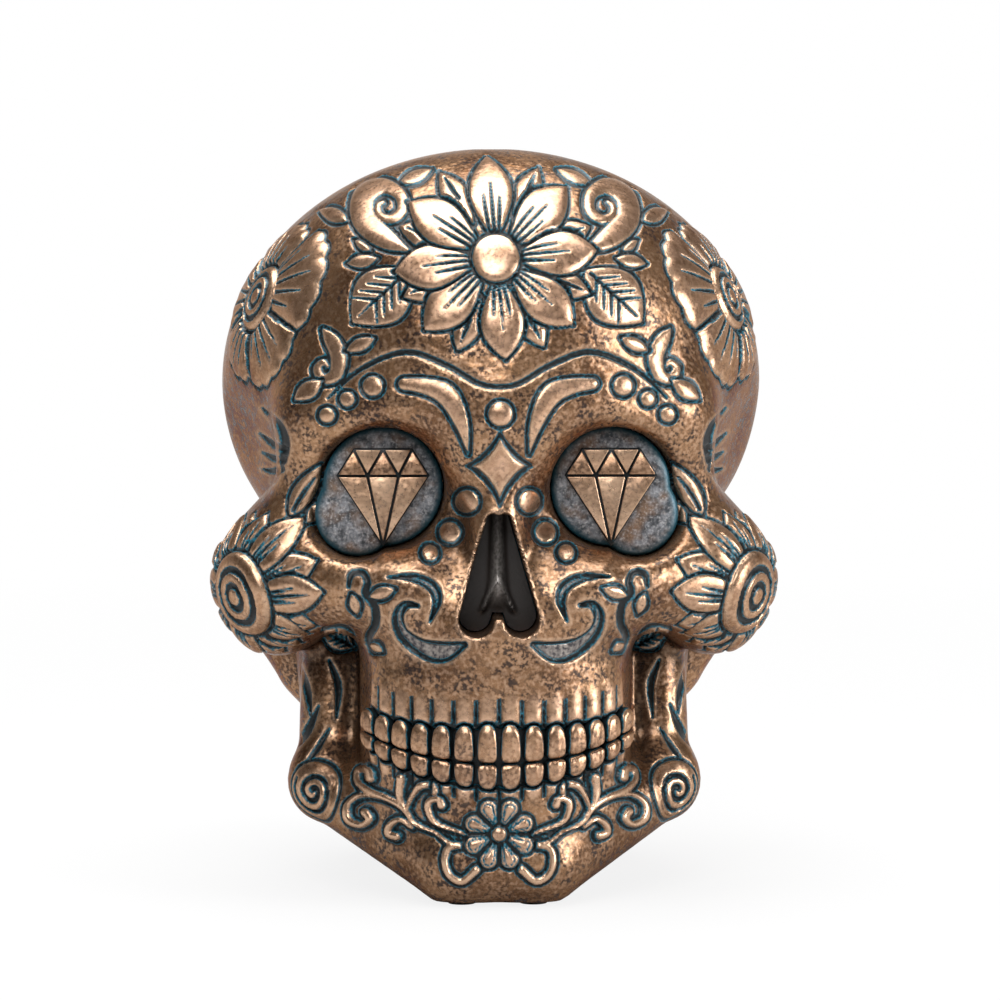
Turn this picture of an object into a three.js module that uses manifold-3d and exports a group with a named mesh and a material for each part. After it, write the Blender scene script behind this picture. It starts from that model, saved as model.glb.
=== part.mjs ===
// Sugar skull ornament: a hollow cast skull in three glued shells with flowers cast on them, and
// with set-in teeth, eye plates, eye diamonds, a nasal insert and felt feet.
// Millimetres, +Z up. The face looks along -Y, and left is -X, as seen from in front.
// The origin lies on the table, under the middle of the skull's box.
import * as THREE from 'three';
import { mergeVertices } from 'three/addons/utils/BufferGeometryUtils.js';
import Module from 'manifold-3d';

const wasm = await Module();
wasm.setup();

// Driving dimensions: the skull
const CRANIUM_WIDTH = 110.8;
const CRANIUM_LENGTH = 122.8;
const CRANIUM_DEPTH = 92.4; // across the long axis, in the middle plane
const CRANIUM_RISE = 99.6; // centre above the table
const CRANIUM_PITCH = 20; // degrees, forehead end up
const CRANIUM_BACK = 5; // centre behind the middle of the skull's coordinates
const CHEEK_SPAN = 112.2; // over both cheekbones
const CHEEK_HEIGHT = 63.4;
const CHEEK_DEPTH = -24;
const SEAM_DEPTH = 4; // the coronal seam between the front and the back shells
const ORIGIN_DEPTH = 3.73; // the middle of the box, seen in the skull's own coordinates

// Driving dimensions: walls, fits and the register lip of the back shell
const WALL = 6;
const FIT_GAP = 0.3; // between any two pieces that are glued or set in
const LIP_HEIGHT = 4;
const LIP_THICKNESS = 2.4;

// Driving dimensions: eyes
const EYE_SPACING = 44.6;
const EYE_HEIGHT = 81.3;
const EYE_RADIUS = 12;
const EYE_LOBE_RADIUS = 8.6; // the small outer lobe that makes the socket a kidney
const EYE_LOBE_OUT = 5;
const EYE_LOBE_DROP = 5.3;
const EYE_FLOOR = -38.5; // depth of the socket floor
const EYE_RIM_DEPTH = -48; // the socket opens out from here
const EYE_RIM_FLARE = 5;
const EYE_PLATE_THICKNESS = 2.2;
const EYE_PLATE_CHAMFER = 0.7;

// Driving dimensions: diamonds, a brilliant drawn from the side
const DIAMOND_WIDTH = 18.2;
const DIAMOND_TABLE = 11.5;
const DIAMOND_CROWN = 5.3;
const DIAMOND_HEIGHT = 19.3;
const DIAMOND_BACK = 1.2;
const DIAMOND_FACET = 1.1; // how far each facet stands off the backing
const DIAMOND_GROOVE = 0.9;
const DIAMOND_RISE = 7.6; // table edge above the eye's centre

// Driving dimensions: nose
const NOSE_LOBE_RADIUS = 4.3;
const NOSE_LOBE_OUT = 3.9;
const NOSE_LOBE_HEIGHT = 57.3;
const NOSE_TOP_RADIUS = 1.3;
const NOSE_TOP_OUT = 1.1;
const NOSE_TOP_HEIGHT = 75.6;
const NOSE_FLOOR = -44;
const NOSE_PLATE_THICKNESS = 1.6;
const SEPTUM_THICKNESS = 1.4;
const SEPTUM_DEPTH = 4.2;

// Driving dimensions: teeth, on a round arch
const TEETH_PER_SIDE = 7;
const ARCH_RADIUS = 32; // to the front of the crowns
const ARCH_CENTRE_DEPTH = -26;
const TOOTH_PITCH = 4.7;
const TOOTH_GAP = 0.25;
const TOOTH_DEPTH = 5.4;
const BITE_HEIGHT = 28.6;
const BITE_RISE = 5.4; // the bite line climbs this much to the last tooth
const UPPER_CROWN_FRONT = 8;
const UPPER_CROWN_BACK = 4.5;
const LOWER_CROWN_FRONT = 5.2;
const LOWER_CROWN_BACK = 3.2;
const CROWN_TAPER = 0.16; // share of its width that a crown loses at the gum
const CROWN_ROUNDNESS = 4; // 2 makes a ball of a crown, and more a box

// Driving dimensions: the joint of the jaw with the face
const JAW_STEP_OUT = 28; // outside the last teeth the joint climbs to the cheekbone
const JAW_JOINT_HEIGHT = 44.8;
const JOINT_SHARES = [0, 0.5, 0.98]; // of the tooth arch, where the joint follows the bite

// Driving dimensions: felt feet
const FELT_THICKNESS = 0.8;
const CHIN_PAD_RADIUS = 2.8;
const CHIN_PAD_SPACING = 14;
const CHIN_PAD_DEPTH = -46.5;
const REAR_PAD_RADIUS = 6;
const REAR_PAD_SPACING = 26;
const REAR_PAD_DEPTH = 24;

// Bone forms, given for the right half: an ellipsoid has a centre and radii, and a limb runs
// from one ball to another. Each melts into the forms before it over its blend width.
const CHEEK_RADII = [13.2, 15, 17.4];
const OCCIPUT = { centre: [0, 20, 38], radii: [38.5, 34, 46], blend: 24 };
const SKULL_BASE = { centre: [0, 5, 45], radii: [33, 40, 34], blend: 10 };
const MIDFACE = { centre: [0, -20, 76], radii: [40, 25, 24], blend: 8 };
const BROW = { from: [0, -46, 94], to: [33, -37, 95], radii: [9, 7], blend: 12 };
const ORBIT_PILLAR = { from: [35.5, -32, 93], to: [38, -32, 67], radii: [6, 8], blend: 10 };
const NOSE_BRIDGE = { from: [0, -45, 92], to: [0, -50, 74], radii: [8, 6], blend: 6 };
const MAXILLA = { centre: [0, -32, 54], radii: [28, 26, 22], blend: 7 };
const CHEEKBONE = { from: [18, -46, 62.5], to: [38, -34, 63], radii: [9, 11.5], blend: 7 };
const CHEEK_BULB = {
  centre: [CHEEK_SPAN / 2 - CHEEK_RADII[0], CHEEK_DEPTH, CHEEK_HEIGHT],
  radii: CHEEK_RADII,
  blend: 7,
};
const CHEEK_ARCH = { from: [46, -18, 61], to: [45, 16, 58], radii: [6.5, 6.5], blend: 10 };
const MASTOID = { from: [42.5, 12, 52], to: [37.6, 11, 42], radii: [8.5, 7], blend: 10 };
const HEAD_BONES = [
  OCCIPUT, SKULL_BASE, MIDFACE, BROW, ORBIT_PILLAR, NOSE_BRIDGE,
  MAXILLA, CHEEKBONE, CHEEK_BULB, CHEEK_ARCH, MASTOID,
];
const CHIN = { centre: [0, -46, 9.4], radii: [13, 11, 10.2] };
const JAW_BODY = { from: [9, -47, 8.4], to: [32.5, -24, 20.5], radii: [8.8, 7.8], blend: 6 };
const RAMUS_FRONT = { from: [32.6, -21, 22], to: [32.1, -16, 52], radii: [6.8, 6.6], blend: 5 };
const RAMUS_BACK = { from: [32, -12, 26], to: [35, -3, 54], radii: [6, 6.5], blend: 8 };
const JAW_ANGLE = { centre: [34, -23, 21.6], radii: [7.3, 7.5, 7.8], blend: 3 };
const JAW_BONES = [JAW_BODY, RAMUS_FRONT, RAMUS_BACK, JAW_ANGLE];
const JAW_BLEND = 4;
const TEMPLE_HOLLOW = { centre: [59.2, -26, 86.5], radii: [11, 24, 13], blend: 9 };
const MOUTH_HOLLOW = { centre: [29, -47, 39], radii: [4, 14, 13], around: 16, rings: 12 };
const GUM = { inset: 0.9, halfWidth: 27.5, middle: 31, halfHeight: 17, round: 5, blend: 4 };

// Cast flowers, given for the right half: a hub with a ring of petals. A petal is widest at the
// share belly of its reach. A flat flower is laid on from in front, the others square to the skin.
const GROUND = 0.55; // the skin between the flowers lies this far under the bone forms
const PETAL_SIDE_SHARES = [0.45, 0.8]; // where the sides of a petal get a point
const PETAL_FULLNESS = 0.85; // below 1 the sides of a petal swell
const PETAL_CHAMFER = 0.7; // a petal is narrower by this at its top
const HUB_SEGMENTS = 10;
const HUB_RISE = 0.3; // hub above petals
const ROOT_DEPTH = 1.6; // petals and hubs reach this far into the skin
const FLOWERS = [
  {
    at: [0, -49.6, 126.2], flat: true, hub: 4.8, rise: 0.9,
    petals: 8, turn: 2, reach: 20.4, width: 9, belly: 0.6,
  },
  { at: [46.7, -20, 117.6], hub: 6.8, rise: 1.1, petals: 5, turn: 150, reach: 17.5, width: 17, belly: 0.78 },
  { at: [51.4, -36.5, 59.3], hub: 8.8, rise: 0.9, petals: 6, turn: 180, reach: 20, width: 10.4, belly: 0.66 },
  { at: [39.8, 38.2, 74.7], hub: 4.6, rise: 0.9, petals: 5, turn: 90, reach: 17, width: 13, belly: 0.64 },
];
const BACK_FLOWER = {
  at: [0, 63.9, 84.8], hub: 5.2, rise: 0.9, petals: 8, turn: 22.5, reach: 20, width: 11, belly: 0.6,
};

// Facets: how finely each surface is divided
const SKIN_DETAIL = 11;
const SKIN_TOLERANCE = 0.1; // slivers smaller than this are joined to their neighbours
const CAVITY_DETAIL = 3;
const ROUND_SEGMENTS = 28;
const ARC_SEGMENTS = 8;
const CHANNEL_SEGMENTS_PER_TOOTH = 2;
const CROWN_SEGMENTS = [3, 2, 3]; // across, deep and high
const FAR = 200; // reaches past every form
const HEART = new THREE.Vector3(0, 5, 70); // every ray of the skin leaves from here
const CAVITY_HEART = new THREE.Vector3(0, 8, 84);
const RAY_SPHERE = { middle: new THREE.Vector3(0, -50, 35), radius: 130 }; // ahead: finer facets there
const RAY_TOLERANCE = 0.004;
const RAY_STEP = 0.7; // share of the distance that one step may take
const SLOPE_STEP = 0.03; // for the slope of the skin
const LAYING_STEPS = 12; // to lay a point of a flower on the skin
const UNIT_BOX = 2; // edge of a box whose half-size is 1

// Distances to the bone forms, in the right half
function ellipsoidDistance({ centre, radii }, p) {
  let near = 0;
  let slope = 0;
  for (let axis = 0; axis < 3; axis += 1) {
    const share = (p[axis] - centre[axis]) / radii[axis];
    near += share * share;
    slope += (share / radii[axis]) ** 2;
  }
  near = Math.sqrt(near);
  return (near * (near - 1)) / Math.max(Math.sqrt(slope), 1e-9);
}

function limbDistance({ from, to, radii }, p) {
  let along = 0;
  let length = 0;
  for (let axis = 0; axis < 3; axis += 1) {
    along += (p[axis] - from[axis]) * (to[axis] - from[axis]);
    length += (to[axis] - from[axis]) ** 2;
  }
  const share = THREE.MathUtils.clamp(along / length, 0, 1);
  const away = p.map((value, axis) => value - from[axis] - share * (to[axis] - from[axis]));
  return Math.hypot(...away) - THREE.MathUtils.lerp(radii[0], radii[1], share);
}

const boneDistance = (bone, p) => (bone.centre ? ellipsoidDistance(bone, p) : limbDistance(bone, p));

function meld(a, b, width) {
  const near = Math.max(width - Math.abs(a - b), 0) / width;
  return Math.min(a, b) - (near * near * width) / 4;
}

const carve = (a, b, width) => -meld(-a, b, width);
const both = (a, b, width) => -meld(-a, -b, width);

function craniumDistance(p) {
  const turn = THREE.MathUtils.degToRad(CRANIUM_PITCH);
  const back = p[1] - CRANIUM_BACK;
  const up = p[2] - CRANIUM_RISE;
  const along = back * Math.cos(turn) - up * Math.sin(turn);
  const across = back * Math.sin(turn) + up * Math.cos(turn);
  const radii = [CRANIUM_WIDTH / 2, CRANIUM_LENGTH / 2, CRANIUM_DEPTH / 2];
  return ellipsoidDistance({ centre: [0, 0, 0], radii }, [p[0], along, across]);
}

function gumDistance(p) {
  const arch = Math.hypot(p[0], p[1] - ARCH_CENTRE_DEPTH) - (ARCH_RADIUS - GUM.inset);
  const tall = Math.abs(p[2] - GUM.middle) - GUM.halfHeight;
  return both(both(arch, tall, GUM.round), p[0] - GUM.halfWidth, GUM.round);
}

function skullDistance(point) {
  const p = [Math.abs(point.x), point.y, point.z];
  let skull = craniumDistance(p);
  for (const bone of HEAD_BONES) skull = meld(skull, boneDistance(bone, p), bone.blend);
  skull = meld(skull, gumDistance(p), GUM.blend);
  let jaw = ellipsoidDistance(CHIN, p);
  for (const bone of JAW_BONES) jaw = meld(jaw, boneDistance(bone, p), bone.blend);
  skull = meld(skull, jaw, JAW_BLEND);
  return carve(skull, ellipsoidDistance(TEMPLE_HOLLOW, p), TEMPLE_HOLLOW.blend) + GROUND;
}

// Distances to the pockets, so that the cavity keeps a full wall behind them
const archPoint = (x, y) => Math.hypot(x, y - ARCH_CENTRE_DEPTH);
const channelFloor = ARCH_RADIUS - TOOTH_DEPTH - FIT_GAP;

function pocketDistance(point) {
  const x = Math.abs(point.x);
  const eyeX = x - EYE_SPACING / 2;
  const eyeZ = point.z - EYE_HEIGHT;
  const ball = Math.hypot(eyeX, eyeZ) - EYE_RADIUS;
  const lobe = Math.hypot(eyeX - EYE_LOBE_OUT, eyeZ + EYE_LOBE_DROP) - EYE_LOBE_RADIUS;
  const eye = Math.max(Math.min(ball, lobe), point.y - EYE_FLOOR);
  const noseLimb = {
    from: [NOSE_LOBE_OUT, 0, NOSE_LOBE_HEIGHT],
    to: [NOSE_TOP_OUT, 0, NOSE_TOP_HEIGHT],
    radii: [NOSE_LOBE_RADIUS, NOSE_TOP_RADIUS],
  };
  const nose = Math.max(limbDistance(noseLimb, [x, 0, point.z]), point.y - NOSE_FLOOR);
  const gumLine = Math.abs(point.z - BITE_HEIGHT) - UPPER_CROWN_FRONT;
  const channel = Math.max(channelFloor - archPoint(x, point.y), gumLine, point.y - ARCH_CENTRE_DEPTH);
  return Math.min(eye, nose, channel);
}

// Closed solids for joining and cutting
function joined(geometry) {
  const bare = geometry.clone();
  bare.deleteAttribute('normal');
  bare.deleteAttribute('uv');
  return mergeVertices(bare);
}

function toSolid(geometry) {
  const merged = joined(geometry);
  const corners = merged.getIndex().array;
  const kept = [];
  for (let i = 0; i < corners.length; i += 3) {
    const [a, b, c] = [corners[i], corners[i + 1], corners[i + 2]];
    if (a !== b && b !== c && c !== a) kept.push(a, b, c);
  }
  const mesh = new wasm.Mesh({
    numProp: 3,
    vertProperties: new Float32Array(merged.getAttribute('position').array),
    triVerts: new Uint32Array(kept),
  });
  return new wasm.Manifold(mesh);
}

function toGeometry(solid) {
  const { vertProperties, triVerts } = solid.getMesh();
  const geometry = new THREE.BufferGeometry();
  geometry.setAttribute('position', new THREE.BufferAttribute(vertProperties, 3));
  geometry.setIndex(new THREE.BufferAttribute(triVerts, 1));
  geometry.computeVertexNormals();
  return geometry;
}

function slab(low, high) {
  const size = new THREE.Vector3().subVectors(high, low);
  const box = new THREE.BoxGeometry(size.x, size.y, size.z);
  return toSolid(box.translate(low.x + size.x / 2, low.y + size.y / 2, low.z + size.z / 2));
}

const slabAlongY = (front, back) =>
  slab(new THREE.Vector3(-FAR, front, -FAR), new THREE.Vector3(FAR, back, FAR));

// An outline drawn in x and z, as seen from in front, given depth from front to back
function frontPrism(shape, front, back) {
  const block = new THREE.ExtrudeGeometry(shape, {
    depth: back - front,
    bevelEnabled: false,
    curveSegments: ARC_SEGMENTS,
  });
  return toSolid(block.rotateX(Math.PI / 2).translate(0, back, 0));
}

// A round form turned about an axis along Y: profile points are radius and depth, front to back
function turned(profile, x, z) {
  const points = profile.map(([radius, depth]) => new THREE.Vector2(radius, depth));
  return toSolid(new THREE.LatheGeometry(points, ROUND_SEGMENTS).translate(x, 0, z));
}

// Draws a point in along its ray to the heart until it meets the bone
function drawIn(point) {
  const ray = new THREE.Vector3().subVectors(HEART, point).normalize();
  let gap = skullDistance(point);
  while (gap > RAY_TOLERANCE) {
    point.addScaledVector(ray, gap * RAY_STEP);
    gap = skullDistance(point);
  }
  return point;
}

function outward(point) {
  const here = skullDistance(point);
  const slope = [[SLOPE_STEP, 0, 0], [0, SLOPE_STEP, 0], [0, 0, SLOPE_STEP]].map(
    (step) => skullDistance(point.clone().add(new THREE.Vector3(...step))) - here,
  );
  return new THREE.Vector3(...slope).normalize();
}

// The skin: a sphere of points drawn in to the bone
function drawnSkin() {
  const sphere = joined(new THREE.IcosahedronGeometry(RAY_SPHERE.radius, SKIN_DETAIL));
  const position = sphere.getAttribute('position');
  const point = new THREE.Vector3();
  for (let i = 0; i < position.count; i += 1) {
    drawIn(point.fromBufferAttribute(position, i).add(RAY_SPHERE.middle));
    position.setXYZ(i, point.x, point.y, point.z);
  }
  return toSolid(sphere);
}

// A solid through rings of points, closed at both ends by a point in the middle of the end ring
function loft(rings, firstEnd, lastEnd) {
  const count = rings[0].length;
  const points = [...rings.flat(), firstEnd, lastEnd];
  const faces = [];
  for (let i = 0; i < count; i += 1) {
    const next = (i + 1) % count;
    for (let ring = 0; ring + 1 < rings.length; ring += 1) {
      const [low, high] = [ring * count, (ring + 1) * count];
      faces.push(low + i, low + next, high + next, low + i, high + next, high + i);
    }
    const top = (rings.length - 1) * count;
    faces.push(points.length - 2, next, i, points.length - 1, top + i, top + next);
  }
  const geometry = new THREE.BufferGeometry().setFromPoints(points);
  return toSolid(geometry.setIndex(faces));
}

// Lays a flower on the skin: returns a function from a place of its drawing, along and up from the
// middle, and a height over the skin, to a point
function layingOn(flower) {
  const start = new THREE.Vector3(...flower.at).sub(HEART).setLength(RAY_SPHERE.radius).add(HEART);
  const middle = drawIn(start);
  const axis = flower.flat ? new THREE.Vector3(0, -1, 0) : outward(middle);
  const up = new THREE.Vector3(0, 0, 1).projectOnPlane(axis).normalize();
  const along = new THREE.Vector3().crossVectors(up, axis);
  return ([a, b], height) => {
    const reach = Math.hypot(a, b);
    const point = middle.clone().addScaledVector(along, a).addScaledVector(up, b);
    for (let step = 0; step < LAYING_STEPS; step += 1) {
      const way = flower.flat ? axis : outward(point);
      point.addScaledVector(way, -skullDistance(point) * (flower.flat ? RAY_STEP : 1));
      if (!flower.flat) point.sub(middle).setLength(reach).add(middle);
    }
    return point.addScaledVector(outward(point), height);
  };
}

const turnedBy = (angle) => ([a, b]) =>
  [a * Math.cos(angle) - b * Math.sin(angle), a * Math.sin(angle) + b * Math.cos(angle)];

// The outline of a petal that points along its first axis, from under the hub to its tip
function petalOutline({ hub, reach, width, belly }, inset) {
  const bend = Math.log(0.5) / Math.log(belly);
  const side = PETAL_SIDE_SHARES.map((share) => {
    const swell = Math.sin(Math.PI * share ** bend) ** PETAL_FULLNESS;
    return [share * reach, (width / 2) * swell - inset];
  });
  const lower = side.map(([a, b]) => [a, -b]);
  return [[hub / 2, 0], ...lower, [reach - inset, 0], ...side.reverse()];
}

function hubOutline(radius) {
  const angles = Array.from({ length: HUB_SEGMENTS }, (_, i) => (2 * Math.PI * i) / HUB_SEGMENTS);
  return angles.map((angle) => turnedBy(angle)([radius, 0]));
}

function castFlower(flower) {
  const lay = layingOn(flower);
  const { hub, rise, petals } = flower;
  const solids = [loft(
    [
      hubOutline(hub).map((place) => lay(place, -ROOT_DEPTH)),
      hubOutline(hub).map((place) => lay(place, rise)),
      hubOutline(hub - PETAL_CHAMFER).map((place) => lay(place, rise + HUB_RISE)),
    ],
    lay([0, 0], -ROOT_DEPTH),
    lay([0, 0], rise + HUB_RISE),
  )];
  for (let petal = 0; petal < petals; petal += 1) {
    const turn = turnedBy(THREE.MathUtils.degToRad(flower.turn + (360 * petal) / petals));
    const laid = (inset, height) => petalOutline(flower, inset).map((place) => lay(turn(place), height));
    const middle = turn([flower.reach * flower.belly, 0]);
    solids.push(loft(
      [laid(0, -ROOT_DEPTH), laid(PETAL_CHAMFER, rise)],
      lay(middle, -ROOT_DEPTH),
      lay(middle, rise),
    ));
  }
  return wasm.Manifold.union(solids);
}

function castSkin() {
  const right = wasm.Manifold.union(FLOWERS.map(castFlower));
  const all = [drawnSkin(), right, right.mirror([1, 0, 0]), castFlower(BACK_FLOWER)];
  return wasm.Manifold.union(all).simplify(SKIN_TOLERANCE);
}

// An inner skin: each ray grows from the heart until it comes within depth of the outside
function grownOut(distance, depth) {
  const sphere = joined(new THREE.IcosahedronGeometry(1, CAVITY_DETAIL));
  const position = sphere.getAttribute('position');
  const point = new THREE.Vector3();
  const ray = new THREE.Vector3();
  for (let i = 0; i < position.count; i += 1) {
    ray.fromBufferAttribute(position, i);
    point.copy(CAVITY_HEART);
    let gap = -distance(point) - depth;
    while (gap > RAY_TOLERANCE) {
      point.addScaledVector(ray, gap * RAY_STEP);
      gap = -distance(point) - depth;
    }
    position.setXYZ(i, point.x, point.y, point.z);
  }
  return toSolid(sphere);
}

const mirrorShape = (points) => points.map(([x, z]) => [-x, z]).reverse();

function outline(points) {
  return new THREE.Shape(points.map(([x, z]) => new THREE.Vector2(x, z)));
}

// Eyes: a kidney pocket whose mouth opens out, a plate on its floor and a diamond on the plate
const eyeLobes = (side) => [
  { x: (side * EYE_SPACING) / 2, z: EYE_HEIGHT, radius: EYE_RADIUS },
  {
    x: side * (EYE_SPACING / 2 + EYE_LOBE_OUT),
    z: EYE_HEIGHT - EYE_LOBE_DROP,
    radius: EYE_LOBE_RADIUS,
  },
];

function eyePocket(side) {
  const lobes = eyeLobes(side).map(({ x, z, radius }) => {
    const flareDepth = EYE_RIM_DEPTH - 2 * EYE_RIM_FLARE;
    const profile = [
      [0, -FAR],
      [radius + EYE_RIM_FLARE, -FAR],
      [radius + EYE_RIM_FLARE, flareDepth],
      [radius, EYE_RIM_DEPTH],
      [radius, EYE_FLOOR],
      [0, EYE_FLOOR],
    ];
    return turned(profile, x, z);
  });
  return lobes[0].add(lobes[1]);
}

const eyePlateBack = EYE_FLOOR - FIT_GAP;
const eyePlateFront = eyePlateBack - EYE_PLATE_THICKNESS;

function eyePlate(side) {
  const lobes = eyeLobes(side).map(({ x, z, radius }) => {
    const edge = radius - FIT_GAP;
    const profile = [
      [0, eyePlateFront],
      [edge - EYE_PLATE_CHAMFER, eyePlateFront],
      [edge, eyePlateFront + EYE_PLATE_CHAMFER],
      [edge, eyePlateBack],
      [0, eyePlateBack],
    ];
    return turned(profile, x, z);
  });
  return lobes[0].add(lobes[1]);
}

// The brilliant: five crown triangles in a zigzag and three pavilion triangles to the tip
function diamondCorners(side) {
  const x = (side * EYE_SPACING) / 2;
  const top = EYE_HEIGHT + DIAMOND_RISE;
  const girdle = top - DIAMOND_CROWN;
  const across = (share, width) => x + (share - 0.5) * width;
  return {
    table: [0, 0.5, 1].map((share) => [across(share, DIAMOND_TABLE), top]),
    girdle: [0, 1 / 3, 2 / 3, 1].map((share) => [across(share, DIAMOND_WIDTH), girdle]),
    tip: [x, top - DIAMOND_HEIGHT],
  };
}

function insetTriangle(corners, inset) {
  const points = corners.map(([x, z]) => new THREE.Vector2(x, z));
  const sides = points.map((_, i) => points[(i + 1) % 3].distanceTo(points[(i + 2) % 3]));
  const around = sides[0] + sides[1] + sides[2];
  const middle = new THREE.Vector2();
  points.forEach((point, i) => middle.addScaledVector(point, sides[i] / around));
  const edge = points[1].clone().sub(points[0]);
  const area = Math.abs(edge.cross(points[2].clone().sub(points[0]))) / 2;
  const share = 1 - inset / ((2 * area) / around);
  return points.map((point) => point.clone().sub(middle).multiplyScalar(share).add(middle));
}

function eyeDiamond(side) {
  const { table, girdle, tip } = diamondCorners(side);
  const back = eyePlateFront - FIT_GAP;
  const front = back - DIAMOND_BACK;
  let stone = frontPrism(outline([table[0], girdle[0], tip, girdle[3], table[2]]), front, back);
  const facets = [
    [table[0], girdle[0], girdle[1]],
    [table[0], girdle[1], table[1]],
    [table[1], girdle[1], girdle[2]],
    [table[1], girdle[2], table[2]],
    [table[2], girdle[2], girdle[3]],
    [girdle[0], tip, girdle[1]],
    [girdle[1], tip, girdle[2]],
    [girdle[2], tip, girdle[3]],
  ];
  for (const facet of facets) {
    const shape = new THREE.Shape(insetTriangle(facet, DIAMOND_GROOVE / 2));
    stone = stone.add(frontPrism(shape, front - DIAMOND_FACET, front + DIAMOND_BACK / 2));
  }
  return stone;
}

// Nose: an upside-down heart of four tangent arcs
function noseShape(inset) {
  const lobe = new THREE.Vector2(NOSE_LOBE_OUT, NOSE_LOBE_HEIGHT);
  const top = new THREE.Vector2(NOSE_TOP_OUT, NOSE_TOP_HEIGHT);
  const lobeRadius = NOSE_LOBE_RADIUS - inset;
  const topRadius = NOSE_TOP_RADIUS - inset;
  const run = top.clone().sub(lobe);
  const slant = Math.atan2(run.y, run.x) - Math.PI / 2;
  const tangent = slant + Math.asin((lobeRadius - topRadius) / run.length());
  const lobeNotch = Math.acos(-lobe.x / lobeRadius);
  const topNotch = Math.acos(-top.x / Math.max(topRadius, top.x));
  const shape = new THREE.Shape();
  shape.absarc(lobe.x, lobe.y, lobeRadius, -lobeNotch, tangent, false);
  shape.absarc(top.x, top.y, topRadius, tangent, topNotch, false);
  shape.absarc(-top.x, top.y, topRadius, Math.PI - topNotch, Math.PI - tangent, false);
  shape.absarc(-lobe.x, lobe.y, lobeRadius, Math.PI - tangent, Math.PI + lobeNotch, false);
  return shape;
}

function nasalInsert() {
  const back = NOSE_FLOOR - FIT_GAP;
  const front = back - NOSE_PLATE_THICKNESS;
  const plate = frontPrism(noseShape(FIT_GAP), front, back);
  const half = SEPTUM_THICKNESS / 2;
  const foot = NOSE_LOBE_HEIGHT;
  const head = NOSE_TOP_HEIGHT - NOSE_TOP_RADIUS;
  const septum = frontPrism(
    outline([[-half, foot], [half, foot], [half, head], [-half, head]]),
    front - SEPTUM_DEPTH,
    front + NOSE_PLATE_THICKNESS / 2,
  );
  return plate.add(septum);
}

// Teeth: places along the arch are an angle from the middle
const toothAngle = TOOTH_PITCH / ARCH_RADIUS;
const archEnd = toothAngle * TEETH_PER_SIDE;
const biteAt = (angle) => BITE_HEIGHT + BITE_RISE * (angle / archEnd) ** 2;
const upperCrownAt = (angle) =>
  THREE.MathUtils.lerp(UPPER_CROWN_FRONT, UPPER_CROWN_BACK, Math.abs(angle) / archEnd);
const lowerCrownAt = (angle) =>
  THREE.MathUtils.lerp(LOWER_CROWN_FRONT, LOWER_CROWN_BACK, Math.abs(angle) / archEnd);

// Bends a box of half-size 1: x runs along the arch, -y out from its centre and z up
function alongArch(box, place) {
  const position = box.getAttribute('position');
  for (let i = 0; i < position.count; i += 1) {
    const { angle, radius, height } = place(position.getX(i), -position.getY(i), position.getZ(i));
    const x = radius * Math.sin(angle);
    position.setXYZ(i, x, ARCH_CENTRE_DEPTH - radius * Math.cos(angle), height);
  }
  return box;
}

function toothChannel() {
  const segments = 2 * TEETH_PER_SIDE * CHANNEL_SEGMENTS_PER_TOOTH;
  const box = new THREE.BoxGeometry(UNIT_BOX, UNIT_BOX, UNIT_BOX, segments, 1, 1);
  const end = archEnd + FIT_GAP / ARCH_RADIUS;
  return toSolid(alongArch(box, (u, v, w) => ({
    angle: u * end,
    radius: v > 0 ? FAR / 2 : channelFloor,
    height: biteAt(u * end)
      + (w > 0 ? upperCrownAt(u * end) + FIT_GAP : -lowerCrownAt(u * end) - FIT_GAP),
  })));
}

// One crown: a box rounded towards a ball, narrower at the gum than at the bite
function tooth(side, index, upper) {
  const box = new THREE.BoxGeometry(UNIT_BOX, UNIT_BOX, UNIT_BOX, ...CROWN_SEGMENTS);
  const middle = side * (index + 0.5) * toothAngle;
  const halfAngle = (toothAngle - TOOTH_GAP / ARCH_RADIUS) / 2;
  const crownAt = upper ? upperCrownAt : lowerCrownAt;
  const rise = upper ? 1 : -1;
  const position = box.getAttribute('position');
  const corner = new THREE.Vector3();
  for (let i = 0; i < position.count; i += 1) {
    corner.fromBufferAttribute(position, i);
    const size = Math.abs(corner.x) ** CROWN_ROUNDNESS + Math.abs(corner.y) ** CROWN_ROUNDNESS
      + Math.abs(corner.z) ** CROWN_ROUNDNESS;
    corner.divideScalar(size ** (1 / CROWN_ROUNDNESS));
    position.setXYZ(i, corner.x, corner.y, corner.z);
  }
  return alongArch(box, (u, v, w) => {
    const gumShare = (1 + rise * w) / 2;
    const angle = middle + u * halfAngle * (1 - CROWN_TAPER * gumShare);
    const reach = (crownAt(angle) - FIT_GAP / 2) * gumShare;
    return {
      angle,
      radius: ARCH_RADIUS - TOOTH_DEPTH / 2 + (v * TOOTH_DEPTH) / 2,
      height: biteAt(angle) + rise * (FIT_GAP / 2 + reach),
    };
  });
}

// The joint of jaw and face: along the bite, up beside the last teeth and out under the cheekbones
function jointLine(gap) {
  const step = JAW_STEP_OUT + gap;
  const steps = JOINT_SHARES.map((share) => {
    const angle = share * archEnd;
    return [channelFloor * Math.sin(angle), biteAt(angle) - gap];
  });
  const right = [...steps, [step, biteAt(archEnd) - gap], [step, JAW_JOINT_HEIGHT - gap]];
  right.push([FAR, JAW_JOINT_HEIGHT - gap]);
  return [...mirrorShape(right.slice(1)), ...right];
}

function belowJoint(gap) {
  return frontPrism(outline([[-FAR, -FAR], [FAR, -FAR], ...jointLine(gap).reverse()]), -FAR, FAR);
}

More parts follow.
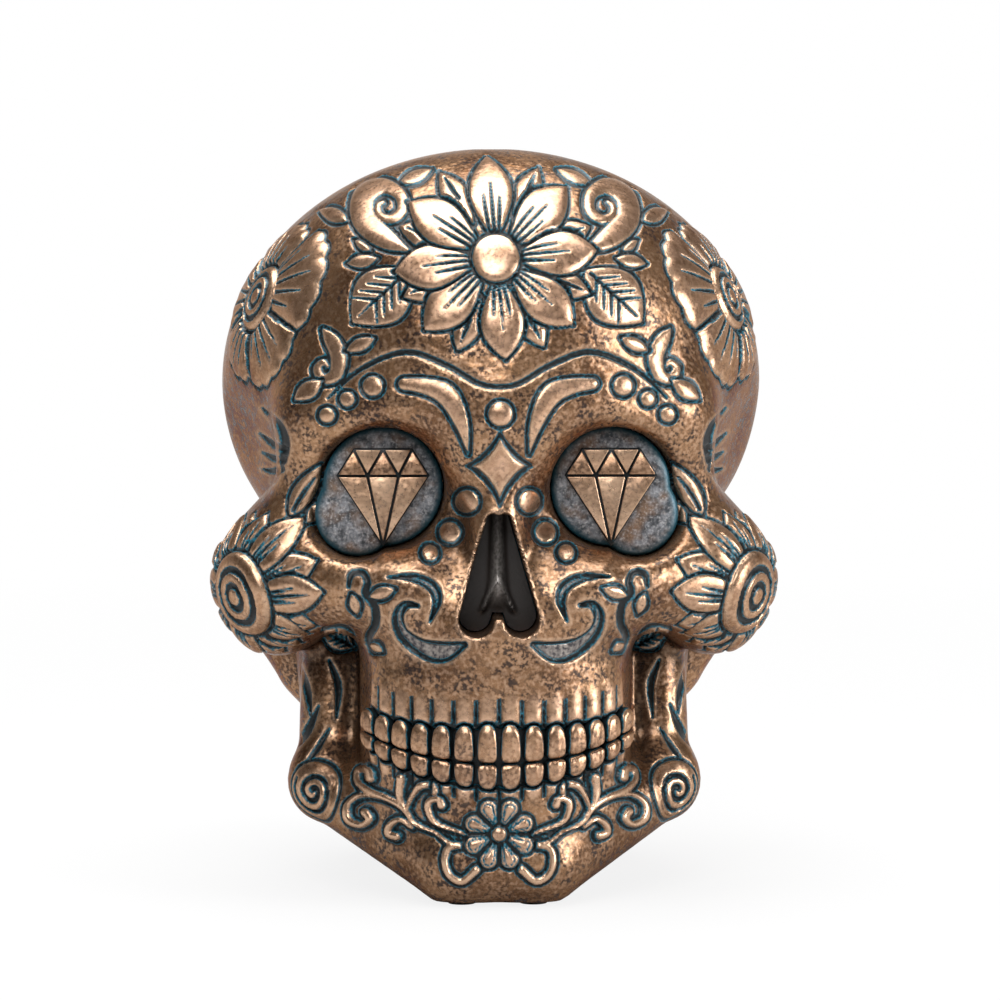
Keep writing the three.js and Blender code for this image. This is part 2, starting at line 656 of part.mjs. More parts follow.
// Shells
const inner = (point) => Math.max(skullDistance(point), -pocketDistance(point));
const skin = castSkin();
const table = slab(new THREE.Vector3(-FAR, -FAR, -FAR), new THREE.Vector3(FAR, FAR, FELT_THICKNESS));
const cavity = grownOut((point) => Math.max(inner(point), FELT_THICKNESS - point.z), WALL);
const hollowSkull = skin.subtract(table).subtract(cavity);
const lipStart = SEAM_DEPTH - LIP_HEIGHT;

function lipBand(gap) {
  const band = grownOut(skullDistance, WALL - LIP_THICKNESS - gap);
  return band.intersect(slabAlongY(lipStart - gap, SEAM_DEPTH + LIP_THICKNESS));
}

function mouthHollow(side) {
  const { centre, radii, around, rings } = MOUTH_HOLLOW;
  const ball = new THREE.SphereGeometry(1, around, rings).scale(radii[0], radii[1], radii[2]);
  return toSolid(ball.translate(side * centre[0], centre[1], centre[2]));
}

function frontShell() {
  const hollow = hollowSkull.intersect(slabAlongY(-FAR, SEAM_DEPTH - FIT_GAP / 2));
  let shell = hollow.subtract(lipBand(FIT_GAP)).subtract(toothChannel());
  shell = shell.subtract(frontPrism(noseShape(0), -FAR, NOSE_FLOOR));
  for (const side of [-1, 1]) shell = shell.subtract(eyePocket(side)).subtract(mouthHollow(side));
  return shell;
}

function backShell() {
  const hollow = hollowSkull.intersect(slabAlongY(SEAM_DEPTH + FIT_GAP / 2, FAR));
  return hollow.add(lipBand(0).subtract(cavity));
}

// Felt feet under the chin and the rear base
function feltPad(radius) {
  const pad = new THREE.CylinderGeometry(radius, radius, FELT_THICKNESS, ROUND_SEGMENTS / 2);
  return pad.rotateX(Math.PI / 2).translate(0, 0, FELT_THICKNESS / 2);
}

// Finishes
const bronze = new THREE.MeshStandardMaterial({ color: '#96653a', roughness: 0.42, metalness: 0.6 });
const silver = new THREE.MeshStandardMaterial({ color: '#6f7a7c', roughness: 0.5, metalness: 0.5 });
const soot = new THREE.MeshStandardMaterial({ color: '#2b2a2c', roughness: 0.5, metalness: 0.4 });
const felt = new THREE.MeshStandardMaterial({ color: '#20201f', roughness: 0.95, metalness: 0 });

const skull = new THREE.Group();
skull.position.y = -ORIGIN_DEPTH;

function place(name, geometry, material) {
  const mesh = new THREE.Mesh(geometry, material);
  mesh.name = name;
  skull.add(mesh);
  return mesh;
}

const front = frontShell();
place('face_casting', toGeometry(front.subtract(belowJoint(-FIT_GAP / 2))), bronze);
place('jaw_casting', toGeometry(front.intersect(belowJoint(FIT_GAP / 2))), bronze);
place('back_casting', toGeometry(backShell()), bronze);
place('nasal_insert', toGeometry(nasalInsert()), soot);

for (const [word, side] of [['left', -1], ['right', 1]]) {
  place(`eye_plate_${word}`, toGeometry(eyePlate(side)), silver);
  place(`eye_diamond_${word}`, toGeometry(eyeDiamond(side)), bronze);
  for (let index = 0; index < TEETH_PER_SIDE; index += 1) {
    place(`upper_tooth_${word}_${index + 1}`, tooth(side, index, true), bronze);
    place(`lower_tooth_${word}_${index + 1}`, tooth(side, index, false), bronze);
  }
  const chinPad = place(`chin_pad_${word}`, feltPad(CHIN_PAD_RADIUS), felt);
  chinPad.position.set((side * CHIN_PAD_SPACING) / 2, CHIN_PAD_DEPTH, 0);
  const rearPad = place(`rear_pad_${word}`, feltPad(REAR_PAD_RADIUS), felt);
  rearPad.position.set((side * REAR_PAD_SPACING) / 2, REAR_PAD_DEPTH, 0);
}

export default skull;
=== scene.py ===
# %% [markdown]
# # A cast sugar skull
# The object is a table ornament: a skull cast in resin, painted in bronze, with carved flowers
# and scrolls and a blue-green patina rubbed into the grooves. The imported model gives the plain
# castings at their real size. Here the same bones are drawn again with a much finer skin, and the
# carving is pressed into that skin. All drawing is done in millimetres, in the skull's own
# coordinates: the face looks along -Y, and the frame lies 3.73 mm further back.

import math

import bmesh
import bpy
import numpy as np
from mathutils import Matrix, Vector


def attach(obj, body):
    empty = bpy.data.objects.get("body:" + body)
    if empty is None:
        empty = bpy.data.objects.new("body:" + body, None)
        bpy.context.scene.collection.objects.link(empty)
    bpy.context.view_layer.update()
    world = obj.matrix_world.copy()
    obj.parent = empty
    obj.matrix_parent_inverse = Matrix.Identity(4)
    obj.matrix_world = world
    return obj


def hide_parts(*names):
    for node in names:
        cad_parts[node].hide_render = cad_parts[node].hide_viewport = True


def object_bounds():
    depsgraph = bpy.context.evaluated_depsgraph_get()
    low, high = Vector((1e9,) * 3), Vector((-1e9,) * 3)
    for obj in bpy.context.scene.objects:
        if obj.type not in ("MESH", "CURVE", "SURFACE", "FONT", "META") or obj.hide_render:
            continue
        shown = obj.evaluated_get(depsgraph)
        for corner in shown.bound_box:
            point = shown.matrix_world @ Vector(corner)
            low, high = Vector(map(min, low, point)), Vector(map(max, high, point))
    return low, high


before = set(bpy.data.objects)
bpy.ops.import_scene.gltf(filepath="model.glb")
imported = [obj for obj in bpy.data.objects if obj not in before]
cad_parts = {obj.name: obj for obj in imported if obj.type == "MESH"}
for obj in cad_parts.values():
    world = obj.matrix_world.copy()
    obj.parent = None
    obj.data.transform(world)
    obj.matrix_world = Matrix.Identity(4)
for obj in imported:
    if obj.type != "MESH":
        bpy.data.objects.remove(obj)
CAD_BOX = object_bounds()
MM = 0.001
ORIGIN_DEPTH = 3.73


def to_frame(points):
    """Skull millimetres to frame metres."""
    return (np.asarray(points, float) - (0, ORIGIN_DEPTH, 0)) * MM


print("frame:", len(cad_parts), "nodes, box", [list(corner) for corner in CAD_BOX])

# %% [markdown]
# The camera stands a metre away on a long lens, a little above the face and a hair to its left,
# because in the photograph the cheeks show almost no perspective. Its picture plane passes just in
# front of the cheekbones, and 5 pixels there are 1 mm.

# %% Camera
CAMERA_SIDE = math.radians(-1.6)
CAMERA_RISE = math.radians(4)
CAMERA_AWAY = 1000
CAMERA_LENS = 180
CAMERA_SENSOR = 36
CAMERA_TARGET = np.array((1.2, -20, 77.2))


def camera_back(side):
    """The direction from the target to a camera turned by side."""
    flat = math.cos(CAMERA_RISE)
    return np.array((math.sin(side) * flat, -math.cos(side) * flat, math.sin(CAMERA_RISE)))


camera = bpy.data.objects.new("camera", bpy.data.cameras.new("camera"))
camera.data.lens = CAMERA_LENS
camera.data.sensor_width = CAMERA_SENSOR
camera.location = to_frame(CAMERA_TARGET + camera_back(CAMERA_SIDE) * CAMERA_AWAY)
camera.rotation_euler = Vector(camera_back(CAMERA_SIDE)).to_track_quat("Z", "Y").to_euler()
bpy.context.scene.collection.objects.link(camera)
bpy.context.scene.camera = camera
bpy.context.scene.view_settings.view_transform = "Standard"
print("camera at", [round(value, 3) for value in camera.location])

# %% [markdown]
# ## The bones
# A skull is smooth lumps that run into one another. Modelling it vertex by vertex would take days,
# so each bone is a ball or a limb with a distance function, and neighbours melt together over a
# blend width. The numbers are those of the solid castings, for the right half: the left half is
# the same with x turned round.

# %% Distances to balls and limbs


def ball(p, centre, radii):
    share = (p - np.array(centre, float)) / radii
    near = np.sqrt((share ** 2).sum(1))
    slope = np.sqrt(((share / radii) ** 2).sum(1))
    return near * (near - 1) / np.maximum(slope, 1e-9)


def limb(p, start, end, first, last):
    start = np.array(start, float)
    run = np.array(end, float) - start
    share = np.clip((p - start) @ run / (run @ run), 0, 1)
    away = np.linalg.norm(p - start - share[:, None] * run, axis=1)
    return away - first - (last - first) * share


def meld(a, b, width):
    near = np.maximum(width - np.abs(a - b), 0) / width
    return np.minimum(a, b) - near * near * width / 4


def carve(a, b, width):
    return -meld(-a, b, width)


CRANIUM_RADII = (55.4, 61.4, 46.2)
CRANIUM_CENTRE = (0, 5, 99.6)
CRANIUM_PITCH = math.radians(20)
HEAD_BONES = [
    (ball, 24, (0, 20, 38), (38.5, 34, 46)),  # occiput
    (ball, 10, (0, 5, 45), (33, 40, 34)),  # skull base
    (ball, 8, (0, -20, 76), (40, 25, 24)),  # middle of the face
    (limb, 12, (0, -46, 94), (33, -37, 95), 9, 7),  # brow
    (limb, 10, (35.5, -32, 93), (38, -32, 67), 6, 8),  # outer wall of the eye
    (limb, 6, (0, -45, 92), (0, -50, 74), 8, 6),  # bridge of the nose
    (ball, 7, (0, -32, 54), (28, 26, 22)),  # upper jaw
    (limb, 7, (18, -46, 62.5), (38, -34, 63), 9, 11.5),  # cheekbone
    (ball, 7, (42.9, -24, 63.4), (13.2, 15, 17.4)),  # bulb of the cheek
    (limb, 10, (46, -18, 61), (45, 16, 58), 6.5, 6.5),  # arch of the cheek
    (limb, 10, (42.5, 12, 52), (37.6, 11, 42), 8.5, 7),  # bone behind the ear
]
CHIN = ((0, -46, 9.4), (13, 11, 10.2))
JAW_BONES = [
    (limb, 6, (9, -47, 8.4), (32.5, -24, 20.5), 8.8, 7.8),  # body of the jaw
    (limb, 5, (32.6, -21, 22), (32.1, -16, 52), 6.8, 6.6),  # front of its branch
    (limb, 8, (32, -12, 26), (35, -3, 54), 6, 6.5),  # back of its branch
    (ball, 3, (34, -23, 21.6), (7.3, 7.5, 7.8)),  # angle of the jaw
]
JAW_BLEND = 4
GUM = dict(middle=31, half_height=17, half_width=27.5, rounding=5, step=0.9)
GUM_BLEND = 4
TEMPLE_HOLLOW = ((59.2, -26, 86.5), (11, 24, 13))
TEMPLE_BLEND = 9
GROUND = 0.55  # the bare skin lies this far under the bone forms
ARCH_RADIUS = 32
ARCH_DEPTH = -26


def cranium(p):
    back, up = p[:, 1] - CRANIUM_CENTRE[1], p[:, 2] - CRANIUM_CENTRE[2]
    turn, lean = math.cos(CRANIUM_PITCH), math.sin(CRANIUM_PITCH)
    turned = np.stack((p[:, 0], back * turn - up * lean, back * lean + up * turn), 1)
    return ball(turned, (0, 0, 0), CRANIUM_RADII)


def gum(p):
    """A round block that carries the teeth."""
    arch = np.hypot(p[:, 0], p[:, 1] - ARCH_DEPTH) - (ARCH_RADIUS - GUM["step"])
    tall = np.abs(p[:, 2] - GUM["middle"]) - GUM["half_height"]
    rounded = meld(-arch, -tall, GUM["rounding"])
    return -meld(rounded, GUM["half_width"] - p[:, 0], GUM["rounding"])


def bone(points):
    """Distance to the closed skull, before any pocket is cut."""
    p = np.column_stack((np.abs(points[:, 0]), points[:, 1:]))
    head = cranium(p)
    for form, blend, *sizes in HEAD_BONES:
        head = meld(head, form(p, *sizes), blend)
    head = meld(head, gum(p), GUM_BLEND)
    jaw = ball(p, *CHIN)
    for form, blend, *sizes in JAW_BONES:
        jaw = meld(jaw, form(p, *sizes), blend)
    head = meld(head, jaw, JAW_BLEND)
    return carve(head, ball(p, *TEMPLE_HOLLOW), TEMPLE_BLEND) + GROUND


print("bones:", len(HEAD_BONES) + len(JAW_BONES) + 3, "with cranium, gum and chin")

# %% [markdown]
# ## Eye sockets, nose and the hollows beside the teeth
# These pockets are cut into the bones. A Boolean would leave hard rims, but the rims of the casting
# are soft and catch a bright line of light, so the pockets are carved out of the same distance
# function, with a blend width for each rim.

# %% Pockets
EYE = dict(out=22.3, height=81.3, radius=12, floor=-38.5, rim=-48, flare=0.5)
EYE_LOBE = dict(out=5, drop=5.3, radius=8.6)
EYE_MELD = 0.25
EYE_FLARE_DEPTH = 10
NOSE_SIDE = ((4.4, 56.5), (1.1, 75.6), 3.4, 1.3)
NOSE_MIDDLE = ((0, 59.4), (0, 74.4), 2.7, 1.7)
NOSE_MELD = 0.9
NOSE_FLOOR = -44
MOUTH_HOLLOW = ((29, -47, 39), (4, 14, 13))
EYE_RIM, NOSE_RIM, MOUTH_RIM = 3, 0.9, 3  # blend widths


def eye_outline(x, z):
    """Distance to the kidney that the eye plate fills, seen from in front."""
    main = np.hypot(x - EYE["out"], z - EYE["height"]) - EYE["radius"]
    lobe_x, lobe_z = EYE["out"] + EYE_LOBE["out"], EYE["height"] - EYE_LOBE["drop"]
    lobe = np.hypot(x - lobe_x, z - lobe_z) - EYE_LOBE["radius"]
    return meld(main, lobe, EYE_MELD)


def nose_outline(x, z):
    """Distance to the upside-down heart of the nose, seen from in front."""
    flat = np.stack((np.abs(x), z), 1)
    return meld(limb(flat, *NOSE_SIDE), limb(flat, *NOSE_MIDDLE), NOSE_MELD)


def skull(points):
    """Distance to the skull with its pockets."""
    x, y, z = np.abs(points[:, 0]), points[:, 1], points[:, 2]
    flare = EYE["flare"] * np.clip(EYE["rim"] - y, 0, EYE_FLARE_DEPTH)
    eye = np.maximum(eye_outline(x, z) - flare, y - EYE["floor"])
    nose = np.maximum(nose_outline(x, z), y - NOSE_FLOOR)
    hollow = ball(np.stack((x, y, z), 1), *MOUTH_HOLLOW)
    solid = carve(bone(points), eye, EYE_RIM)
    solid = carve(solid, nose, NOSE_RIM)
    return carve(solid, hollow, MOUTH_RIM)


def outward(points, field=skull):
    """The direction in which the distance grows fastest, and the distance."""
    reach = 0.03
    here = field(points)
    slope = np.empty_like(points)
    for axis in range(3):
        step = np.zeros(3)
        step[axis] = reach
        slope[:, axis] = (field(points + step) - here) / reach
    slope /= np.maximum(np.linalg.norm(slope, axis=1), 1e-6)[:, None]
    return slope, here


# %% [markdown]
# ## The skin
# A fine ball of triangles is shrunk onto the bones along rays, as cling film would be. Then the
# points that lie over a pocket are pushed straight back into it, long edges are halved, and
# smoothing followed by a step back onto the surface evens the triangles out.

# %% Shrink a ball onto the bones
HEART = np.array((0.0, 5.0, 70.0))
RAY_MIDDLE = np.array((0.0, -30.0, 72.0))
RAY_RADIUS = 130
NEAR_ENOUGH = 0.01
SAFE_STEP = 0.7  # share of a distance that is safe to walk where bones melt together
SKIN_DIVISIONS = 7


def vertex_array(mesh):
    flat = np.empty(len(mesh.vertices) * 3)
    mesh.vertices.foreach_get("co", flat)
    return flat.reshape(-1, 3)


def put_vertices(mesh, points):
    mesh.vertices.foreach_set("co", np.asarray(points, np.float32).ravel())
    mesh.update()


def opened(mesh):
    """A bmesh of what a mesh holds."""
    shape = bmesh.new()
    shape.from_mesh(mesh)
    return shape


def closed(shape, mesh):
    """Writes a bmesh to a mesh and frees it."""
    shape.to_mesh(mesh)
    shape.free()
    return mesh


def new_mesh(shape, name):
    return closed(shape, bpy.data.meshes.new(name))


def drawn_in(start, heart, field):
    """Moves each point along its ray to the heart until it meets the surface."""
    p = start.copy()
    ray = heart - start
    ray /= np.linalg.norm(ray, axis=1)[:, None]
    live = np.arange(len(p))
    while len(live):
        gap = field(p[live])
        p[live] += ray[live] * (gap * SAFE_STEP)[:, None]
        live = live[gap > NEAR_ENOUGH]
    return p


def settled(points, field=skull, steps=2):
    """Steps points back onto the surface."""
    p = points.copy()
    for _ in range(steps):
        slope, gap = outward(p, field)
        p -= slope * np.clip(gap, -1, 1)[:, None]
    return p


def pushed_back(points):
    """Moves the points over a pocket straight back to its floor."""
    p = points.copy()
    live = np.arange(len(p))
    for _ in range(120):
        gap = skull(p[live])
        live = live[gap > NEAR_ENOUGH]
        if not len(live):
            break
        p[live, 1] += np.clip(gap[gap > NEAR_ENOUGH] * 0.8, 0.02, 1)
    return p


def ball_mesh(name, divisions):
    shape = bmesh.new()
    bmesh.ops.create_icosphere(shape, subdivisions=divisions, radius=1)
    return new_mesh(shape, name)


skin = ball_mesh("skin", SKIN_DIVISIONS)
skin_points = drawn_in(RAY_MIDDLE + RAY_RADIUS * vertex_array(skin), HEART, bone)
put_vertices(skin, pushed_back(skin_points))
print("skin:", len(skin.vertices), "points on the bones")

# %% Halve long edges and even the triangles
COARSE = 2.6


def halve_edges(mesh, wanted):
    """Cuts each edge that is longer than the length wanted where it lies."""
    points = vertex_array(mesh)
    ends = np.empty(len(mesh.edges) * 2, np.int32)
    mesh.edges.foreach_get("vertices", ends)
    ends = ends.reshape(-1, 2)
    length = np.linalg.norm(points[ends[:, 0]] - points[ends[:, 1]], axis=1)
    goal = wanted(points)
    long = np.nonzero(length > np.minimum(goal[ends[:, 0]], goal[ends[:, 1]]))[0]
    shape = opened(mesh)
    shape.edges.ensure_lookup_table()
    bmesh.ops.subdivide_edges(
        shape, edges=[shape.edges[i] for i in long], cuts=1, use_single_edge=True
    )
    bmesh.ops.triangulate(shape, faces=[face for face in shape.faces if len(face.verts) > 3])
    closed(shape, mesh)
    return len(long)


def evened(mesh, rounds):
    """Smooths along the surface: each round ends with a step back onto it."""
    for _ in range(rounds):
        shape = opened(mesh)
        bmesh.ops.smooth_vert(
            shape, verts=shape.verts, factor=0.5, use_axis_x=True, use_axis_y=True, use_axis_z=True
        )
        closed(shape, mesh)
        put_vertices(mesh, settled(vertex_array(mesh), steps=1))


def plain_goal(points):
    return np.full(len(points), COARSE)


for _ in range(3):
    halve_edges(skin, plain_goal)
    put_vertices(skin, settled(vertex_array(skin)))
evened(skin, 2)
print("skin:", len(skin.polygons), "triangles before the carving")

# %% [markdown]
# ## Carving tools
# The carver works with a few cuts: a raised form with a groove round it, a sunk line, a wide scoop
# with a rubbed floor, a raised wire and a sunk ground. Each takes a drawn shape, and a shape gives a
# signed distance on a flat drawing, negative inside. What is cut later lies on top, as when a petal
# is drawn over its neighbour. Every cut leaves its height, what the finish needs (the dark round it,
# partly wax and partly painted shade; its patina; its lip, lightened partly as wear and partly as a
# painted highlight) and the distance to the nearest edge, which says where the skin must be fine.

# %% Shapes on the flat drawing
REACH = 4.0  # how far past its edge a shape still counts
# How far the dark round a form reaches: brushed wax, and painted shade at the form's foot
WAX_AND_SHADE_WIDTH = 0.75  # how far brushed wax reaches from a form


def within(q, corners, margin):
    corners = np.array(corners)
    low, high = corners.min(0) - margin, corners.max(0) + margin
    return np.nonzero(((q > low) & (q < high)).all(1))[0]


def disc(centre, radius):
    def shape(q):
        near = within(q, [centre], radius + REACH)
        return near, np.hypot(*(q[near] - centre).T) - radius
    return shape


def ring(centre, radius, half):
    def shape(q):
        near = within(q, [centre], radius + half + REACH)
        return near, np.abs(np.hypot(*(q[near] - centre).T) - radius) - half
    return shape


def leaf(base, tip, width, belly=0.5):
    """A pointed leaf, widest at the share belly of its length."""
    base, tip = np.array(base, float), np.array(tip, float)
    length = np.hypot(*(tip - base))
    along = (tip - base) / length
    bend = math.log(0.5) / math.log(belly)

    def shape(q):
        near = within(q, [base, tip], width / 2 + REACH)
        place = q[near] - base
        run = place @ along
        share = np.clip(run / length, 0, 1)
        side = place @ (-along[1], along[0])
        half = width / 2 * np.sin(np.pi * share ** bend) ** 0.85
        return near, np.hypot(run - share * length, side) - half
    return shape


def star(centre, up, side, down):
    """A star of four points with hollow sides."""
    def shape(q):
        near = within(q, [centre], max(up, side, down) + REACH)
        x, z = (q[near] - centre).T
        tall = np.where(z > 0, up, down)
        size = ((np.abs(x) / side) ** 0.75 + (np.abs(z) / tall) ** 0.75) ** (1 / 0.75)
        return near, (size - 1) * side * 0.45
    return shape


def fan(angle, reach, opening):
    """A broad petal with a scalloped end, from the middle of the drawing outwards."""
    turn, half = math.radians(angle), math.radians(opening / 2)

    def shape(q):
        near = within(q, [(0, 0)], reach + REACH)
        x, z = q[near].T
        radius = np.hypot(x, z)
        off = np.abs((np.arctan2(z, x) - turn + np.pi) % (2 * np.pi) - np.pi)
        share = off / half
        scallop = 0.8 * np.abs(np.cos(2.5 * np.pi * np.minimum(share, 1.2)))
        end = reach * (0.95 - 0.12 * share ** 2) + scallop
        side = radius * np.sin(np.clip(off - half, -1.2, 1.2))
        return near, np.maximum(radius - end, side)
    return shape


def drop(start, end, first, last):
    """A drop that swells from one end to the other."""
    def shape(q):
        near = within(q, [start, end], last + REACH)
        return near, limb(q[near], start, end, first, last)
    return shape


def loop(start, end, first, last, half):
    """A closed line along the edge of a drop."""
    def shape(q):
        near, away = drop(start, end, first, last)(q)
        return near, np.abs(away) - half
    return shape


def together(shapes):
    """Several shapes as one, so that what they share isn't cut twice."""
    def shape(q):
        away = np.full(len(q), 99.0)
        for part in shapes:
            near, gap = part(q)
            away[near] = np.minimum(away[near], gap)
        near = np.nonzero(away < REACH)[0]
        return near, away[near]
    return shape


def flowing(points, steps=8):
    """A smooth curve through a few points."""
    points = np.array(points, float)
    ends = np.vstack((2 * points[0] - points[1], points, 2 * points[-1] - points[-2]))
    share = np.linspace(0, 1, steps, endpoint=False)[:, None]
    curve = []
    for a, b, c, d in zip(ends, ends[1:], ends[2:], ends[3:]):
        bend = (2 * a - 5 * b + 4 * c - d) * share ** 2 + (3 * b - a - 3 * c + d) * share ** 3
        curve.append(b + ((c - a) * share + bend) / 2)
    return np.vstack(curve + [points[-1:]])


def stroke(points, halves):
    """A line through points, as wide at each as halves says."""
    line = flowing(np.column_stack((points, halves)))
    path, half = line[:, :2], np.maximum(line[:, 2], 0.02)

    def shape(q):
        near = within(q, path, max(halves) + REACH)
        away = np.full(len(near), 99.0)
        for start, end, first, last in zip(path, path[1:], half, half[1:]):
            run = end - start
            place = q[near] - start
            share = np.clip(place @ run / max(run @ run, 1e-9), 0, 1)
            gap = np.hypot(*(place - share[:, None] * run).T) - first - (last - first) * share
            np.minimum(away, gap, out=away)
        return near, away
    return shape


def curl(centre, start, turns, outer, inner, count=12):
    """Points of a spiral: start in degrees, turns against the clock, radius outer to inner."""
    share = np.linspace(0, 1, count)
    angle = math.radians(start) + 2 * math.pi * turns * share
    radius = outer + (inner - outer) * share
    return np.stack((centre[0] + radius * np.cos(angle), centre[1] + radius * np.sin(angle)), 1)


# %% The carver's cuts


def mixed(a, b, share):
    return a + (b - a) * share


def ramp(share):
    share = np.clip(share, 0, 1)
    return share * share * (3 - 2 * share)


def bump(value, middle, half):
    return np.exp(-((value - middle) / half) ** 2)


class Carving:
    """The relief on a set of places: q is the drawing that is being cut."""

    def __init__(self, count):
        self.height = np.zeros(count)
        self.line = np.full(count, 9.0)  # distance to the bottom of the nearest groove
        # The dark round a form is partly wax that the brush left and partly painted shade at its foot
        self.halo = np.zeros(count)  # wax that the brush left round a form
        self.floor = np.zeros(count)  # rubbed floors of wide cuts
        self.patina = np.zeros(count)
        # The lip is lightened partly as wear and partly as a painted highlight
        self.lip = np.zeros(count)
        self.edge = np.full(count, 9.0)
        self.fade = np.ones(count)
        self.q = None

    def settle(self, near, away, **layers):
        fade = self.fade[near]
        for name, value in layers.items():
            layer = getattr(self, name)
            layer[near] = mixed(layer[near], value, fade)
        closer = np.where(fade > 0.05, np.abs(away), 9)
        self.edge[near] = np.minimum(self.edge[near], closer)

    def raised(self, shape, rise=0.6, groove=0.3, depth=0.4, pillow=0.9):
        near, away = shape(self.q)
        inside = ramp(0.5 - away / 0.3)
        body = rise * (1 - np.exp(-np.maximum(-away, 0) / pillow))
        trench = np.exp(-((away - groove) / groove) ** 2)
        own = np.abs(away - groove)
        self.settle(
            near, away,
            height=mixed(mixed(self.height[near], body, inside), -depth, trench),
            line=np.where(away < 0, own, np.minimum(self.line[near], own)),
            halo=np.maximum(self.halo[near], np.exp(-np.maximum(away, 0) / WAX_AND_SHADE_WIDTH)) * (1 - inside),
            floor=self.floor[near] * (1 - inside),
            patina=self.patina[near] * (1 - inside),
            lip=np.maximum(self.lip[near] * (1 - inside), 0.7 * bump(away, -0.5, 0.3)),
        )

    def cut(self, shape, depth=0.5, slope=0.45):
        near, away = shape(self.q)
        inside = ramp(0.5 - away / slope)
        self.settle(
            near, away,
            height=mixed(self.height[near], self.height[near] - depth, inside),
            line=np.minimum(self.line[near], np.maximum(away + 0.3, 0)),
            halo=np.maximum(self.halo[near], 0.45 * np.exp(-np.maximum(away, 0) / WAX_AND_SHADE_WIDTH)),
            lip=np.maximum(self.lip[near] * (1 - inside), 0.5 * bump(away, 0.45, 0.25)),
        )

    def scooped(self, shape, depth=0.9):
        """A wide cut: its floor is rubbed light again and only its wall stays dark."""
        near, away = shape(self.q)
        inside = ramp(0.5 - away / 0.5)
        self.settle(
            near, away,
            height=mixed(self.height[near], -depth, inside),
            line=np.minimum(self.line[near], np.abs(away + 0.25)),
            halo=np.maximum(self.halo[near], 0.4 * np.exp(-np.maximum(away, 0) / WAX_AND_SHADE_WIDTH)),
            floor=np.maximum(self.floor[near], inside),
            lip=np.maximum(self.lip[near] * (1 - inside), 0.6 * bump(away, 0.5, 0.3)),
        )

    def wire(self, shape, rise=0.75, ground=0.45):
        near, away = shape(self.q)
        inside = ramp(0.5 - away / 0.3)
        beside = np.exp(-np.maximum(away, 0) / 1.1)
        round_top = rise * np.sqrt(np.clip(-away * 1.8, 0, 1))
        height = np.minimum(self.height[near], -ground * beside)
        own = np.abs(away - 0.3)
        self.settle(
            near, away,
            height=mixed(height, round_top, inside),
            line=np.where(away < 0, own, np.minimum(self.line[near], own)),
            halo=np.maximum(self.halo[near], np.exp(-np.maximum(away, 0) / WAX_AND_SHADE_WIDTH)) * (1 - inside),
            patina=np.maximum(self.patina[near], 0.9 * beside ** 1.6) * (1 - inside),
            lip=np.maximum(self.lip[near] * (1 - beside), 0.8 * ramp(-away / 0.6)),
        )

    def sunk(self, shape, depth, wax_and_shade):
        """A wide floor that lies lower, darkened with wax and painted shade."""
        near, away = shape(self.q)
        inside = ramp(0.5 - away / 1.6)
        self.height[near] -= depth * inside * self.fade[near]
        self.halo[near] = np.maximum(self.halo[near], wax_and_shade * inside * self.fade[near])


# %% [markdown]
# ## The carving of the face
# Everything on the front is drawn on the picture plane of a camera straight ahead, once for both
# halves: x runs out from the middle and v up from the height of the eyes. The points are given in
# millimetres. The forehead flower, the dot under it and the star sit in the middle, and are drawn
# with both signs of x.

# %% Places on the picture plane
WALK_START = 120  # rays start this far in front of the picture plane
WALK_STEPS = 200
STRAIGHT_BACK = camera_back(0)
STRAIGHT_UP = np.array((0, math.sin(CAMERA_RISE), math.cos(CAMERA_RISE)))
DRAWING_MIDDLE = np.array((0, CAMERA_TARGET[1], CAMERA_TARGET[2]))


def seen_from_front(p):
    place = p - DRAWING_MIDDLE
    grow = CAMERA_AWAY / (CAMERA_AWAY - place @ STRAIGHT_BACK)
    return np.stack((p[:, 0] * grow, place @ STRAIGHT_UP * grow), 1)


def place_seen_at(x, v):
    """The point of the bones that shows at a place of the drawing."""
    eye = DRAWING_MIDDLE + STRAIGHT_BACK * CAMERA_AWAY
    on_plane = DRAWING_MIDDLE + np.array((x, 0, 0)) + STRAIGHT_UP * v
    ray = (on_plane - eye) / np.linalg.norm(on_plane - eye)
    point = eye + ray * (CAMERA_AWAY - WALK_START)
    for _ in range(WALK_STEPS):
        point = point + ray * bone(point[None])[0] * SAFE_STEP
    return point


def turned_way(angle):
    """A direction on a drawing, in degrees, and the one across it."""
    way = np.array((math.cos(math.radians(angle)), math.sin(math.radians(angle))))
    return way, np.array((-way[1], way[0]))


# %% Brow, nose and mouth


def carve_brow(work):
    work.cut(stroke(
        [(34, 20.4), (27.5, 26.2), (18.6, 29.6), (10.5, 27), (4.2, 23.4), (0, 22.7), (-4, 23.4)],
        [0.15, 0.4, 0.5, 0.5, 0.45, 0.4, 0.35],
    ))
    for x, v, radius in [(25.1, 22.8, 2.1), (30.1, 20.2, 1.6), (34.1, 17, 1.65)]:
        work.raised(disc((x, v), radius), rise=0.55)
    work.raised(stroke(
        [(18.9, 23.2), (14.6, 22.7), (10.4, 20.9), (7.6, 15.6), (6.1, 9.2)],
        [1.25, 1.7, 2.2, 1.5, 0.15],
    ))
    for x, v, radius in [(6.3, -0.3, 2.4), (9.6, -6.4, 2.2), (13.6, -10.5, 1.75)]:
        work.raised(disc((x, v), radius), rise=0.6)


def carve_moustache(work):
    work.scooped(stroke(
        [(22.3, -15.3), (17.2, -15.4), (13.4, -17.2), (12.4, -20.2), (13.8, -24.4)],
        [0.1, 0.75, 1.0, 0.8, 0.1],
    ))
    work.scooped(stroke(
        [(16.2, -21.2), (18.6, -21), (20.2, -23.2), (19.4, -26.6), (16, -29.4), (11.6, -30.5), (6.9, -29)],
        [0.3, 0.7, 0.95, 1.15, 1.6, 2.0, 0.5],
    ))


